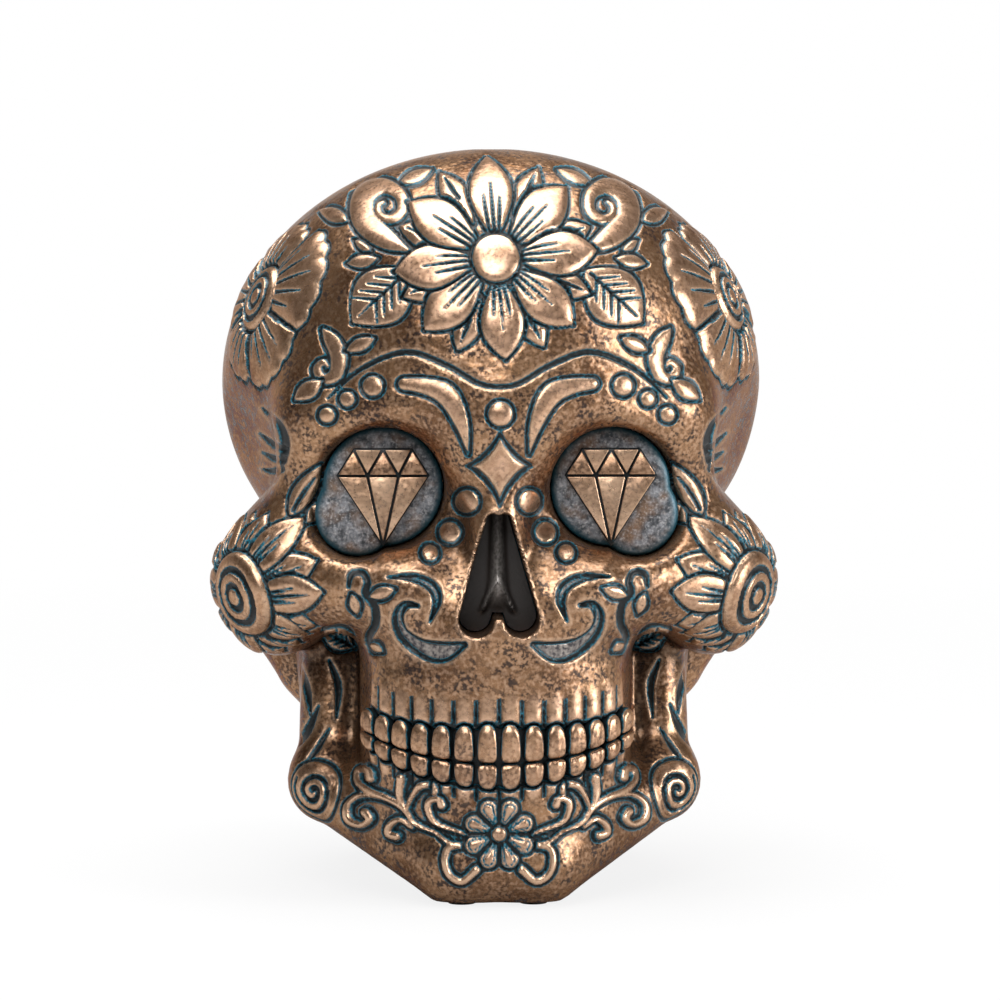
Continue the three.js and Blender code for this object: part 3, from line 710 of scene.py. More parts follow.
def carve_nose_lip(work, p):
    away = nose_outline(p[:, 0], p[:, 2])
    near = np.nonzero((np.abs(away) < 3) & (p[:, 1] < NOSE_FLOOR + 4))[0]
    # The nose's rim is raised, and lightened partly as wear and partly as a painted highlight
    lip = np.exp(-((away[near] - 0.45) / 0.35) ** 2)
    deep = ramp((0.1 - away[near]) / 0.5)
    work.settle(
        near, away[near],
        height=mixed(work.height[near], 0.25, lip),
        patina=np.maximum(work.patina[near] * (1 - lip), deep),
        lip=np.maximum(work.lip[near] * (1 - deep), 0.25 * lip),
    )


# %% Forehead: swirls and leaves under the great flower


def veined_leaf(work, base, tip, width, barbs=4):
    """A leaf with a midrib and slanted side veins."""
    base, tip = np.array(base, float), np.array(tip, float)
    work.raised(leaf(base, tip, width))
    run = tip - base
    across = np.array((-run[1], run[0])) / np.hypot(*run)
    work.cut(stroke([base + run * 0.08, base + run * 0.5, base + run * 0.88], [0.28, 0.22, 0.06]), 0.45)
    for barb in range(barbs):
        foot = base + run * (0.18 + 0.52 * barb / barbs)
        for side in (-1, 1):
            end = foot + run * 0.2 + across * side * width * 0.3
            work.cut(stroke([foot, (foot + end) / 2, end], [0.22, 0.18, 0.06]), 0.4)


def carve_forehead(work):
    veined_leaf(work, (17.5, 46), (29, 35.4), 11.5)
    work.raised(leaf((19.4, 63.2), (12.4, 66.2), 2.6))
    work.raised(leaf((29.2, 56), (35, 58), 3.2))
    work.raised(leaf((23.8, 48.4), (30, 47.2), 2.8))
    work.raised(leaf((25.2, 49.8), (28.4, 52), 2.0))
    swirl = [(17.4, 49.8), (22.4, 52.4)] + list(curl((21.9, 58.7), -30, 1.25, 5.2, 1.1, 9))
    work.raised(stroke(swirl, [0.3, 2.2, 2.5, 2.2, 1.7, 1.35, 1.15, 1.0, 0.85, 0.7, 0.4]))
    work.raised(stroke(
        [(34.8, 34.2), (33.2, 32), (31.8, 28.8), (32.4, 25.2), (34.8, 24.2), (36, 26.2), (34.8, 27.6),
         (33.9, 26.8)],
        [0.3, 1.5, 1.7, 1.4, 1.1, 0.9, 0.7, 0.4],
    ))
    work.raised(leaf((30.4, 29.8), (24.6, 32.4), 2.8))
    work.raised(leaf((35, 24), (40.6, 20), 3.6))


def carve_great_flower(work):
    middle = np.array((-0.4, 48.4))
    inner = [122, 162, 203, 247, 63, 18, -21, -62]
    outer = [93, 44, 4, -41, -85, -135, -172, 147]

    def petal(angle, base, tip, width, belly):
        way, across = turned_way(angle)
        work.raised(leaf(middle + way * base, middle + way * tip, width, belly), rise=0.85)
        return way, across

    for angle in inner:
        way, _ = petal(angle, 8, 20.2, 5.4, 0.55)
        work.cut(stroke([middle + way * 13.5, middle + way * 16, middle + way * 18.4], [0.3, 0.3, 0.05]), 0.5)
    for angle in outer:
        way, across = petal(angle, 2.5, 20.4, 8.8, 0.6)
        for side, end in [(-1, 11.5), (0, 14.5), (1, 12.2)]:
            foot = middle + way * 5 + across * side * 0.9
            mid = middle + way * 8.5 + across * side * 1.35
            work.cut(stroke([foot, mid, middle + way * end + across * side * 1.6], [0.26, 0.2, 0.04]), 0.45)
    work.raised(disc(middle, 4.8), rise=0.95, groove=0.36, pillow=1.1)


def carve_middle(work):
    carve_great_flower(work)
    work.raised(disc((0.3, 17.2), 2.6), rise=0.7)
    work.raised(star((0.2, 6.8), 6, 5.8, 7), rise=0.5, groove=0.36)


print("face drawing ready")

# %% Temples and cheeks


def carve_temple_feather(work):
    work.cut(stroke([(46.4, 18.4), (43.2, 14.6), (42.4, 10), (44.2, 3.6)], [0.1, 0.6, 0.8, 0.1]))
    for foot, end in [((42.6, 10), (46.8, 13.4)), ((42.6, 8), (46.2, 9.6)), ((43, 6.2), (46, 6.2))]:
        middle = ((foot[0] + end[0]) / 2 - 0.3, (foot[1] + end[1]) / 2 - 0.4)
        work.cut(stroke([foot, middle, end], [0.6, 0.5, 0.08]))


def carve_cheek(work):
    work.raised(leaf((41.4, -3), (35, 7), 4.6, 0.45))
    work.cut(stroke([(40.6, -2), (38.4, 1.8), (36.4, 4.6)], [0.3, 0.3, 0.08]), 0.45)
    work.raised(leaf((38, -4.6), (34.2, -0.2), 3.2))
    work.cut(stroke(
        [(30, -17.4), (29.4, -14.8), (27.2, -14.4), (26.2, -16.4), (26.6, -18.6), (24.8, -21.4),
         (24.6, -24.8), (25.8, -27.8), (23.2, -30.8)],
        [0.3, 0.6, 0.6, 0.6, 0.7, 0.7, 0.7, 0.6, 0.1],
    ))
    work.raised(leaf((26, -19.4), (20.8, -17.8), 2.6), groove=0.36)
    work.raised(leaf((29.4, -18.8), (28, -23), 2.2), groove=0.36)
    work.raised(leaf((25.6, -28.6), (23, -30.4), 1.8), groove=0.36)
    veined_leaf(work, (28, -29.4), (34.4, -26), 4.4, 3)


def carve_jaw(work):
    work.cut(stroke([(38.6, -33.2), (37.4, -38), (36.8, -43)], [0.2, 0.6, 0.1]))
    work.cut(stroke([(33, -32), (31.2, -37), (31.6, -43.6)], [0.2, 0.6, 0.1]))
    work.cut(stroke([(35.2, -41), (37.4, -46), (40, -50)], [0.15, 0.7, 0.1]))
    work.cut(stroke([(33, -45.5), (35.6, -49.6), (37.6, -52)], [0.1, 0.5, 0.1]))
    work.sunk(stroke(
        [(3, -66), (10, -65), (17, -61.5), (24, -59), (28, -60)], [7.6, 6, 4.4, 4, 3]), 0.25, 0.1)
    scrolls = [
        [(6.6, -66.8), (12.4, -64.6), (14, -62), (13.8, -60.2), (12, -59.8), (11.4, -61)],
        [(12.4, -66.5), (16.6, -64.6), (18.5, -62), (21.1, -60), (25.5, -58.1), (27.6, -56.2),
         (27.3, -54), (25.6, -54), (25.2, -55.6)],
        [(18.3, -62), (17.2, -59.2), (15.4, -57.2), (13.2, -57), (12.8, -58.2)],
        [(18.8, -61.4), (19.6, -58.6), (19.1, -55.6)],
        [(22, -59.6), (26.7, -59), (29.6, -60.8), (29.6, -63.6), (27.2, -64.9), (25.4, -63.8), (26.2, -62.4)],
        [(17.1, -65.4), (19.4, -63.8), (21.4, -64.9), (21.8, -66.6), (20.2, -67.2)],
        [(12.6, -66.4), (9.8, -68.6), (7.2, -69), (10, -69.6), (10.8, -72), (10, -74.8), (7.4, -76.2),
         (4.6, -74)],
    ]
    wires = []
    for scroll in scrolls:
        swell = np.interp(np.linspace(0, 1, len(scroll)), [0, 0.5, 0.8, 1], [0.45, 0.85, 0.75, 0.95])
        wires.append(stroke(scroll, list(swell)))
    work.wire(together(wires))


def carve_chin_flower(work):
    middle = np.array((0.0, -66.9))
    for petal in range(8):
        way, _ = turned_way(22.5 + 45 * petal)
        base, end = middle + way * 2.2, middle + way * 5.5
        work.raised(drop(base, end, 0.5, 1.8), rise=0.75)
        work.cut(loop(base, end, 0.1, 1.0, 0.05), 0.3)
    work.raised(disc(middle, 1.6), rise=0.9)


# %% [markdown]
# The flowers on the temples, cheeks and back wrap round the skull, so each has a drawing of its
# own, laid on the surface at its middle. The drawing keeps true distances from that middle, which
# is what a carver's compass would mark.

# %% Wrapped drawings


def wrapped(p, middle, size):
    """Places near a middle, as (forward, up) on the surface, and how well they belong to it."""
    axis = outward(middle[None], bone)[0][0]
    up = np.array((0.0, 0.0, 1.0)) - axis * axis[2]
    up /= np.linalg.norm(up)
    forward = np.cross(axis, up)
    if forward[1] > 0:
        forward = -forward
    away = p - middle
    flat = np.stack((away @ forward, away @ up), 1)
    reach = np.linalg.norm(away, axis=1)
    flat *= (reach / np.maximum(np.hypot(*flat.T), 1e-6))[:, None]
    flat[reach > size] = 999
    return flat


def on_bone(place):
    """The point of the skin on the ray from the heart through a place."""
    ray = np.array(place) - HEART
    return drawn_in((HEART + ray / np.linalg.norm(ray) * RAY_RADIUS)[None], HEART, bone)[0]


def hub(work, radius, rings, half=0.3):
    work.raised(disc((0, 0), radius), rise=1.15, groove=0.42, pillow=0.7)
    for ring_radius in rings:
        work.cut(ring((0, 0), ring_radius, half), 0.7)


def bloom(work, radius, rings, petals, belly):
    """A round flower of leaf-shaped petals: (angle, reach, width), each with three veins."""
    for angle, reach, width in petals:
        way, across = turned_way(angle)
        work.raised(leaf((0, 0), way * reach, width, belly), rise=0.85)
        for side in (-1, 0, 1):
            foot = way * (radius + 0.4) + across * side * width * 0.13
            end = way * reach * (0.74 - 0.12 * abs(side)) + across * side * width * 0.2
            work.cut(stroke([foot, (foot + end) / 2, end], [0.28, 0.22, 0.05]), 0.45)
    hub(work, radius, rings)


# %% Temple and cheek flowers
TEMPLE_AT = (46.7, -20, 117.6)
CHEEK_AT = (51.4, -36.5, 59.3)
REAR_AT = (39.8, 38.2, 74.7)
BACK_AT = (0, 63.9, 84.8)
TEMPLE_PETALS = [(174, 17.5), (246, 17.5), (102, 18), (-46, 20), (22, 22)]
CHEEK_PETALS = [(150, 17.5), (210, 17.5), (270, 16), (96, 17), (19, 20.2), (-29, 17.4), (180, 19.5),
                (240, 18.5), (122, 19), (-68, 16), (76, 17.4), (-46, 16), (50, 21.4), (0, 20.6)]
RIB_END_SHARES = (0.64, 0.77, 0.83, 0.79, 0.66)


def carve_temple_flower(work):
    for angle, reach in TEMPLE_PETALS:
        work.raised(fan(angle, reach, 76), rise=1.0, groove=0.36, pillow=1.4)
        for rib, share in enumerate(RIB_END_SHARES):
            way, _ = turned_way(angle + 13 * (rib - 2))
            foot, end = way * 7.2, way * reach * share
            work.cut(stroke([foot, (foot + end) / 2, end], [0.3, 0.24, 0.05]), 0.45)
    hub(work, 6.8, (2.2, 4.6), 0.5)


def carve_cheek_flower(work):
    for angle, reach in CHEEK_PETALS:
        way, across = turned_way(angle)
        work.raised(leaf(way * 4, way * reach, 8.4, 0.55), rise=0.6)
        for side, end in [(-1, 0.45), (0, 0.75), (1, 0.45)]:
            foot = way * 9.2 + across * side * 0.9
            tip = way * mixed(9.2, reach, end) + across * side * 1.5
            work.cut(stroke([foot, (foot + tip) / 2, tip], [0.28, 0.22, 0.05]), 0.45)
    hub(work, 8.8, (2.3, 5.3), 0.6)


def carve_jaw_spiral(work):
    work.raised(disc((0, 0), 6.2), rise=0.45, groove=0.36)
    coil = curl((0, 0), 150, 1.9, 4.9, 0.5, 26)
    work.cut(stroke(coil, np.linspace(0.3, 0.55, len(coil))), 0.8)


# %% The back, and all of the wrapped drawings


def spray(work, angle, start, length):
    """A veined leaf that leaves a flower, with a curl on each side of it."""
    way, across = turned_way(angle)
    for side in (-1, 1):
        spine = [way * start + across * side * 1.5, way * (start + length * 0.3) + across * side * 4.5]
        middle = way * (start + length * 0.55) + across * side * 7
        coil = curl(middle, angle - side * 90, side * 1.2, 3.2, 0.6, 9)
        work.raised(stroke(spine + list(coil), [0.4, 1.0] + [1.1] * 8 + [0.5]), rise=0.5)
    veined_leaf(work, way * start, way * (start + length), length * 0.55)


def carve_back(work, p, right):
    work.q = wrapped(p, on_bone(BACK_AT), 40)
    for angle in (90, 210, 330):
        spray(work, angle, 19, 16)
    bloom(work, 5.2, (1.6, 3.4), [(22.5 + 45 * petal, 20, 11) for petal in range(8)], 0.6)
    work.q = wrapped(right, on_bone(REAR_AT), 34)
    for angle in (54, 126):
        spray(work, angle, 15, 14)
    bloom(work, 4.6, (1.6, 3.1), [(90 + 72 * petal, 17, 13) for petal in range(5)], 0.64)


def carve_round_the_skull(work, p):
    right = np.column_stack((np.abs(p[:, 0]), p[:, 1:]))
    carve_back(work, p, right)
    work.q = wrapped(right, on_bone(TEMPLE_AT), 26)
    carve_temple_flower(work)
    work.q = wrapped(right, on_bone(CHEEK_AT), 26)
    carve_cheek_flower(work)
    work.q = wrapped(right, place_seen_at(36.4, -58.2), 10)
    carve_jaw_spiral(work)


# %% [markdown]
# ## The bed of the teeth
# Each crown is a piece of its own, so the castings keep only its bed: a sunk band with a scalloped
# gum line, and the roots that swell above and below it with dark grooves between them.

# %% Roots and gum line
TEETH_PER_SIDE = 7
TOOTH_PITCH = 4.7
TOOTH_ANGLE = TOOTH_PITCH / ARCH_RADIUS
ARCH_END = TOOTH_ANGLE * TEETH_PER_SIDE
BITE_HEIGHT = 28.6
BITE_RISE = 5.4
UPPER_CROWN = (8, 4.5)
LOWER_CROWN = (5.2, 3.2)
BED_DEPTH = 1.6


def bite_at(angle):
    return BITE_HEIGHT + BITE_RISE * (angle / ARCH_END) ** 2


def crown_at(angle, crown):
    return mixed(crown[0], crown[1], np.abs(angle) / ARCH_END)


def carve_tooth_bed(work, p):
    angle = np.arctan2(p[:, 0], ARCH_DEPTH - p[:, 1])
    radius = np.hypot(p[:, 0], p[:, 1] - ARCH_DEPTH)
    near = np.nonzero((np.abs(angle) < ARCH_END + 0.06) & (radius > 26) & (radius < 36)
                      & (np.abs(p[:, 2] - 31) < 22))[0]
    angle, z = angle[near], p[near, 2]
    share = np.abs(angle) / TOOTH_ANGLE % 1
    bulge = np.sin(np.pi * share)
    above = z - bite_at(angle) - crown_at(angle, UPPER_CROWN) * (0.86 + 0.14 * bulge)
    below = bite_at(angle) - crown_at(angle, LOWER_CROWN) * (0.88 + 0.12 * bulge) - z
    past_end = (np.abs(angle) - ARCH_END) * ARCH_RADIUS
    bed = np.maximum(np.maximum(above, below), past_end)
    inside = ramp(0.5 - bed / 0.4)
    beads = 0.7 + 0.3 * np.abs(np.sin(np.pi * np.clip(above, 0, 6.4) / 3.2))
    upper = ramp(above / 0.5) * ramp((8 - above) / 5.5) * beads
    lower = ramp(below / 0.5) * ramp((4.4 - below) / 3.2)
    root = np.maximum(upper, lower) * ramp((0.3 - past_end) / 1.5)
    between = np.minimum(share, 1 - share) * TOOTH_PITCH
    own = np.minimum(between + 3 * ramp((0.4 - root) / 0.34), np.abs(bed - 0.25))
    work.settle(
        near, np.minimum(np.abs(bed), np.where(root > 0.2, between, 9)),
        height=mixed(work.height[near] + root * (1.5 * np.sqrt(bulge) - 0.9), -BED_DEPTH, inside),
        line=np.minimum(work.line[near], own),
        # Darker between the roots: partly wax, partly painted shade in the creases
        halo=np.maximum(work.halo[near], 0.9 * root * (1 - bulge)),
        patina=np.maximum(work.patina[near], inside),
        # Light tops of the roots: partly wear, partly a painted highlight
        lip=np.maximum(work.lip[near] * (1 - inside), root * bulge ** 3 * 0.3),
    )


# %% All the carving at once
NAPE_TOP = 45  # below this height the front drawing ends further forward, clear of the occiput
NAPE_FRONT = -12


def carved(p, normal):
    """The relief at points of the skin whose outward directions are known."""
    work = Carving(len(p))
    faces_front = ramp((normal @ STRAIGHT_BACK - 0.02) / 0.25)
    drawing = seen_from_front(p)
    half_drawing = np.column_stack((np.abs(drawing[:, 0]), drawing[:, 1]))
    carve_round_the_skull(work, p)
    work.fade = faces_front * (p[:, 1] < np.where(p[:, 2] < NAPE_TOP, NAPE_FRONT, 0))
    work.q = half_drawing
    carve_brow(work)
    carve_temple_feather(work)
    carve_forehead(work)
    carve_cheek(work)
    carve_moustache(work)
    carve_jaw(work)
    carve_chin_flower(work)
    work.q = drawing
    carve_middle(work)
    work.fade = np.ones(len(p))
    carve_tooth_bed(work, p)
    carve_nose_lip(work, p)
    return work


# %% Fine skin where the carving is
FINE, FINE_BAND = 0.64, 0.75  # edge length, and how far from an edge of the carving it holds
MIDDLING, MIDDLING_BAND = 1.25, 1.5


def carving_goal(points):
    work = carved(points, outward(points)[0])
    further = np.where(work.edge < MIDDLING_BAND, MIDDLING, COARSE)
    return np.where(work.edge < FINE_BAND, FINE, further)


for _ in range(4):
    cuts = halve_edges(skin, carving_goal)
    put_vertices(skin, settled(vertex_array(skin)))
    print("skin:", len(skin.polygons), "triangles after", cuts, "edges were halved")
evened(skin, 1)
print("skin:", len(skin.polygons), "triangles in all")

# %% [markdown]
# ## Finishes
# Small helpers first. A colour is written as it looks on a screen and turned to linear light. One
# function adds a node with its settings and its links. Patterns are sized in millimetres: object
# coordinates are metres, so a pattern of s mm has the scale 1000 / s.

# %% Colours and nodes
TIMES = dict(operation="MULTIPLY", use_clamp=True)
PLUS = dict(operation="ADD", use_clamp=True)
GREATER = dict(operation="MAXIMUM", use_clamp=True)
FACTOR, FIRST, SECOND, COLOUR = 0, 6, 7, 2  # the colour sockets of a Mix node


def shade(hex_colour):
    parts = [int(hex_colour[i:i + 2], 16) / 255 for i in (1, 3, 5)]
    linear = [c / 12.92 if c <= 0.04045 else ((c + 0.055) / 1.055) ** 2.4 for c in parts]
    return (*linear, 1)


def add(tree, kind, inputs, out=0, **settings):
    """A node with its settings and links. Inputs are named, or listed in the node's own order."""
    node = tree.nodes.new("ShaderNode" + kind)
    for name, value in settings.items():
        setattr(node, name, value)
    for key, value in inputs.items() if isinstance(inputs, dict) else enumerate(inputs):
        if isinstance(value, bpy.types.NodeSocket):
            tree.links.new(value, node.inputs[key])
        else:
            node.inputs[key].default_value = value
    return node.outputs[out] if len(node.outputs) else None


def per_mm(size):
    return 1000 / size


def new_finish(name):
    material = bpy.data.materials.new(name)
    material.use_nodes = True
    material.node_tree.nodes.clear()
    return material, material.node_tree


def painted(tree, ground, coats):
    """Lays coats over a ground, each a colour and the share of it that shows."""
    for colour, share in coats:
        sockets = {FACTOR: share, FIRST: ground, SECOND: colour}
        ground = add(tree, "Mix", sockets, COLOUR, data_type="RGBA")
    return ground


# %% [markdown]
# The castings are resin filled with bronze powder and rubbed with dark wax, a finish that founders
# call cold-cast bronze. The powder gives a broad, warm sheen, and the wax polishes to a clear film
# over it. Wax stays in the pits, and round the raised forms the dark is partly wax and partly painted
# shade. A blue-green paint lies in the grooves, and the cloth that took the rest off has left the
# raised forms bare and light; those on the sides are kept darker as painted shade. Places with other
# bone close in front get a painted shade, and the edges of the forms are lightened partly as wear
# and partly as a painted highlight. How close a place is to the bottom of a groove comes from the
# carving as a plain distance. It changes evenly over a triangle, so the shader can draw a thin line
# from it where the mesh alone is too coarse.

# %% Cold-cast bronze with patina


def cold_cast_bronze():
    # Bronze powder in resin, polished: a warm metal, speckled with dark wax
    material, tree = new_finish("cold_cast_bronze")
    place = add(tree, "TexCoord", [], "Object")
    sideways = add(tree, "Math", [add(tree, "SeparateXYZ", [place], "X")], operation="ABSOLUTE")
    groove, halo, floor, patina, relief, lip, occlusion_shade = [
        add(tree, "Attribute", [], "Fac", attribute_name=name)
        for name in ("groove", "halo", "floor", "patina", "relief", "lip", "occlusion_shade")
    ]
    clouds, patches, dents, blots, specks, fine = [
        add(tree, "TexNoise", {"Vector": place, "Scale": per_mm(size), "Detail": detail}, "Fac")
        for size, detail in ((11, 5), (7, 3), (2.4, 1.5), (2.2, 5), (0.8, 4), (0.35, 3))
    ]

    # Wax in the pits, wax and painted shade round the raised forms, and tops rubbed bare
    top = add(tree, "MapRange", [relief, 0.1, 0.45])
    pits = add(tree, "Math", [
        add(tree, "MapRange", [specks, 0.53, 0.43]),
        add(tree, "MapRange", [blots, 0.42, 0.56, 0.2, 1.0]),
    ], **TIMES)
    pits = add(tree, "Math", [pits, add(tree, "MapRange", [patches, 0.42, 0.6, 0.5, 1.5])], **TIMES)
    pits = add(tree, "Math", [pits, add(tree, "MapRange", [top, 0, 1, 1.0, 0.4])], **TIMES)
    brushed_wax_and_shade = add(tree, "Math", [halo, add(tree, "MapRange", [blots, 0.38, 0.58, 1.0, 0.1])], **TIMES)
    brushed_wax_and_shade = add(tree, "Math", [brushed_wax_and_shade, add(tree, "MapRange", [top, 0, 1, 1.0, 0.1])], **TIMES)
    wax_and_shade = add(tree, "Math", [pits, brushed_wax_and_shade], **GREATER)
    rubbed_and_lit = add(tree, "Math", [top, add(tree, "MapRange", [blots, 0.3, 0.65, 0.3, 0.85])], **TIMES)
    # Painted shade: raised forms on the sides are kept darker, as where less light falls
    painted_side_shade = add(tree, "MapRange", [sideways, 25 * MM, 46 * MM, 1.0, 0.4])
    rubbed_and_lit = add(tree, "Math", [rubbed_and_lit, painted_side_shade], **TIMES)

    # Paint in the grooves, darkest at the bottom
    ragged = add(tree, "Math", [patina, add(tree, "MapRange", [specks, 0.3, 0.7, -0.15, 0.12])], **PLUS)
    waver = add(tree, "Math", [add(tree, "MapRange", [specks, 0.3, 0.7, 0.92, 1.08]), groove], **TIMES)
    deep, stain = [
        add(tree, "Math", [
            add(tree, "MapRange", [waver, *line]), add(tree, "MapRange", [ragged, *pool]),
        ], **GREATER)
        for line, pool in (((0.74, 0.85), (0.55, 0.9)), ((0.65, 0.75), (0.25, 0.5)))
    ]
    teal = painted(tree, shade("#05414f"), [
        (shade("#0a6c82"), add(tree, "MapRange", [fine, 0.4, 0.6])),
        (shade("#03080b"), add(tree, "Math", [deep, 0.95], **TIMES)),
    ])

    scooped_floor = painted(tree, shade("#3c3d42"), [
        (shade("#8d8883"), add(tree, "MapRange", [specks, 0.38, 0.62])),
    ])
    colour = painted(tree, shade("#6b4a30"), [
        (shade("#a07a59"), add(tree, "MapRange", [clouds, 0.35, 0.65])),
        (shade("#cdab90"), add(tree, "MapRange", [specks, 0.48, 0.7, 0.0, 0.5])),
        # Tops rubbed bare, lighter in the middle and darker on the sides as painted shade
        (shade("#d2aa8d"), rubbed_and_lit),
        # Dark wax in the pits, and round the raised forms wax and painted shade
        (shade("#14161c"), add(tree, "Math", [wax_and_shade, 0.86], **TIMES)),
        # Painted shade where other bone stands close in front
        (shade("#17100c"), add(tree, "MapRange", [occlusion_shade, 0.1, 0.8, 0.0, 0.85])),
        # Light edges of the forms: partly wear, partly a painted highlight
        (shade("#d9b799"), add(tree, "Math", [lip, 0.7], **TIMES)),
        (scooped_floor, add(tree, "Math", [floor, 0.9], **TIMES)),
        (teal, stain),
    ])

    rough = add(tree, "Math", [
        add(tree, "MapRange", [specks, 0.3, 0.7, 0.24, 0.38]),
        add(tree, "MapRange", [stain, 0, 1, 0.0, 0.45]),
    ], **PLUS)
    metallic = add(tree, "Math", [
        add(tree, "MapRange", [stain, 0, 1, 0.92, 0.0]),
        add(tree, "MapRange", [wax_and_shade, 0, 1, 1.0, 0.4]),
    ], **TIMES)
    dents = add(tree, "Math", [dents, add(tree, "MapRange", [top, 0, 1, 0.55, 0.2])], **TIMES)
    skin_height = add(tree, "Math", [
        dents, add(tree, "MapRange", [waver, 0.55, 0.87, 0.5, 0.0]),
    ], **PLUS)
    bumps = add(tree, "Bump", {"Height": skin_height, "Strength": 0.6, "Distance": 0.7 * MM})
    shader = add(tree, "BsdfPrincipled", {
        "Base Color": colour, "Metallic": metallic, "Roughness": rough, "Normal": bumps,
        "Specular Tint": shade("#b08a6c"), "Coat Weight": 0.3, "Coat Roughness": 0.27,
    })
    add(tree, "OutputMaterial", {"Surface": shader})
    return material


BRONZE = cold_cast_bronze()
print("finish:", BRONZE.name)

# %% [markdown]
# The eye plates are the same resin with a pewter paint, dabbed on over black so that it breaks up
# into light and dark flecks. The nasal insert is dark, with grey on its ridges, partly rubbed paint
# and partly a painted highlight. The feet are wool felt.

# %% Pewter, soot and felt


def dabbed_pewter():
    # Pewter paint over black: grey, flecked with white and brown, teal where it meets the rim
    material, tree = new_finish("dabbed_pewter")
    place = add(tree, "TexCoord", [], "Object")
    patina = add(tree, "Attribute", [], "Fac", attribute_name="patina")
    patches, flecks, fine = [
        add(tree, "TexNoise", {"Vector": place, "Scale": per_mm(size), "Detail": detail}, "Fac")
        for size, detail in ((5, 4), (1.3, 5), (0.5, 3))
    ]
    colour = painted(tree, shade("#3a3c40"), [
        (shade("#85868a"), add(tree, "MapRange", [flecks, 0.36, 0.66])),
        (shade("#75583f"), add(tree, "MapRange", [patches, 0.47, 0.66, 0.0, 0.8])),
        (shade("#c9c6c4"), add(tree, "MapRange", [fine, 0.53, 0.7, 0.0, 0.4])),
        (shade("#17181b"), add(tree, "MapRange", [fine, 0.45, 0.3, 0.0, 0.5])),
        (shade("#0d4a5a"), patina),
    ])
    bumps = add(tree, "Bump", {"Height": flecks, "Strength": 0.5, "Distance": 0.25 * MM})
    shader = add(tree, "BsdfPrincipled", {
        "Base Color": colour, "Metallic": 0.35, "Roughness": 0.45, "Normal": bumps,
    })
    add(tree, "OutputMaterial", {"Surface": shader})
    return material


def dark_nose_resin():
    # Dark resin, greyed on its ridges: partly rubbed paint, partly a painted highlight
    material, tree = new_finish("dark_nose_resin")
    place = add(tree, "TexCoord", [], "Object")
    relief = add(tree, "Attribute", [], "Fac", attribute_name="relief")
    fine = add(tree, "TexNoise", {"Vector": place, "Scale": per_mm(0.7), "Detail": 4}, "Fac")
    # Grey on the ridges: partly rubbed paint, partly a painted highlight
    rubbed_and_lit = add(tree, "Math", [
        add(tree, "MapRange", [relief, 0.1, 0.9]), add(tree, "MapRange", [fine, 0.35, 0.6, 0.4, 1]),
    ], **TIMES)
    colour = painted(tree, shade("#2b2725"), [(shade("#a09b97"), rubbed_and_lit)])
    bumps = add(tree, "Bump", {"Height": fine, "Strength": 0.4, "Distance": 0.2 * MM})
    shader = add(tree, "BsdfPrincipled", {
        "Base Color": colour, "Metallic": 0.4, "Roughness": 0.42, "Normal": bumps,
    })
    add(tree, "OutputMaterial", {"Surface": shader})
    return material


def wool_felt():
    # Pressed wool: matt, with short tangled fibres drawn coarse enough to show
    material, tree = new_finish("wool_felt")
    place = add(tree, "TexCoord", [], "Object")
    fibres = add(tree, "TexNoise", {"Vector": place, "Scale": per_mm(0.5), "Detail": 6}, "Fac")
    thickness = add(tree, "MapRange", [fibres, 0.35, 0.65])
    colour = painted(tree, shade("#151515"), [(shade("#34332f"), thickness)])
    bumps = add(tree, "Bump", {"Height": fibres, "Strength": 0.8, "Distance": 0.3 * MM})
    shader = add(tree, "BsdfPrincipled", {
        "Base Color": colour, "Roughness": 0.95, "Sheen Weight": 0.3, "Normal": bumps,
    })
    add(tree, "OutputMaterial", {"Surface": shader})
    return material


PEWTER, DARK_NOSE, FELT = dabbed_pewter(), dark_nose_resin(), wool_felt()
print("finishes:", PEWTER.name, DARK_NOSE.name, FELT.name)

# %% [markdown]
# ## The three castings
# The skin is cut into the face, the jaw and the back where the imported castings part, and hollowed
# with a 6 mm wall. The cutting is done with Boolean modifiers while everything is still in
# millimetres, and the carving is pressed in afterwards, so that both sides of a seam match.

# %% Cutting blocks
WALL = 6
FIT_GAP = 0.3
HAIRLINE = 0.03  # the glued seams are filled and painted over, so next to nothing shows
SEAM_DEPTH = 4
LIP_HEIGHT = 4
LIP_THICKNESS = 2.4
FELT_THICKNESS = 0.8
JAW_STEP_OUT = 28
JAW_JOINT_HEIGHT = 44.8
BED_RADIUS = 28.4
FAR = 200
CAVITY_HEART = np.array((0.0, 8.0, 84.0))
CAVITY_DIVISIONS = 5


def block(low, high):
    shape = bmesh.new()
    bmesh.ops.create_cube(shape, size=1)
    low, high = np.array(low, float), np.array(high, float)
    bmesh.ops.scale(shape, vec=Vector(high - low), verts=shape.verts)
    bmesh.ops.translate(shape, vec=Vector((low + high) / 2), verts=shape.verts)
    return new_mesh(shape, "block")


def grown(depth):
    """An inner skin that lies the depth inside the outer one."""
    mesh = ball_mesh("inner", CAVITY_DIVISIONS)
    ray = vertex_array(mesh)
    p = np.repeat(CAVITY_HEART[None], len(ray), 0)
    live = np.arange(len(p))
    while len(live):
        gap = -np.maximum(skull(p[live]), FELT_THICKNESS - p[live, 2]) - depth
        p[live] += ray[live] * (np.maximum(gap, 0) * SAFE_STEP)[:, None]
        live = live[gap > NEAR_ENOUGH]
    put_vertices(mesh, p)
    return mesh


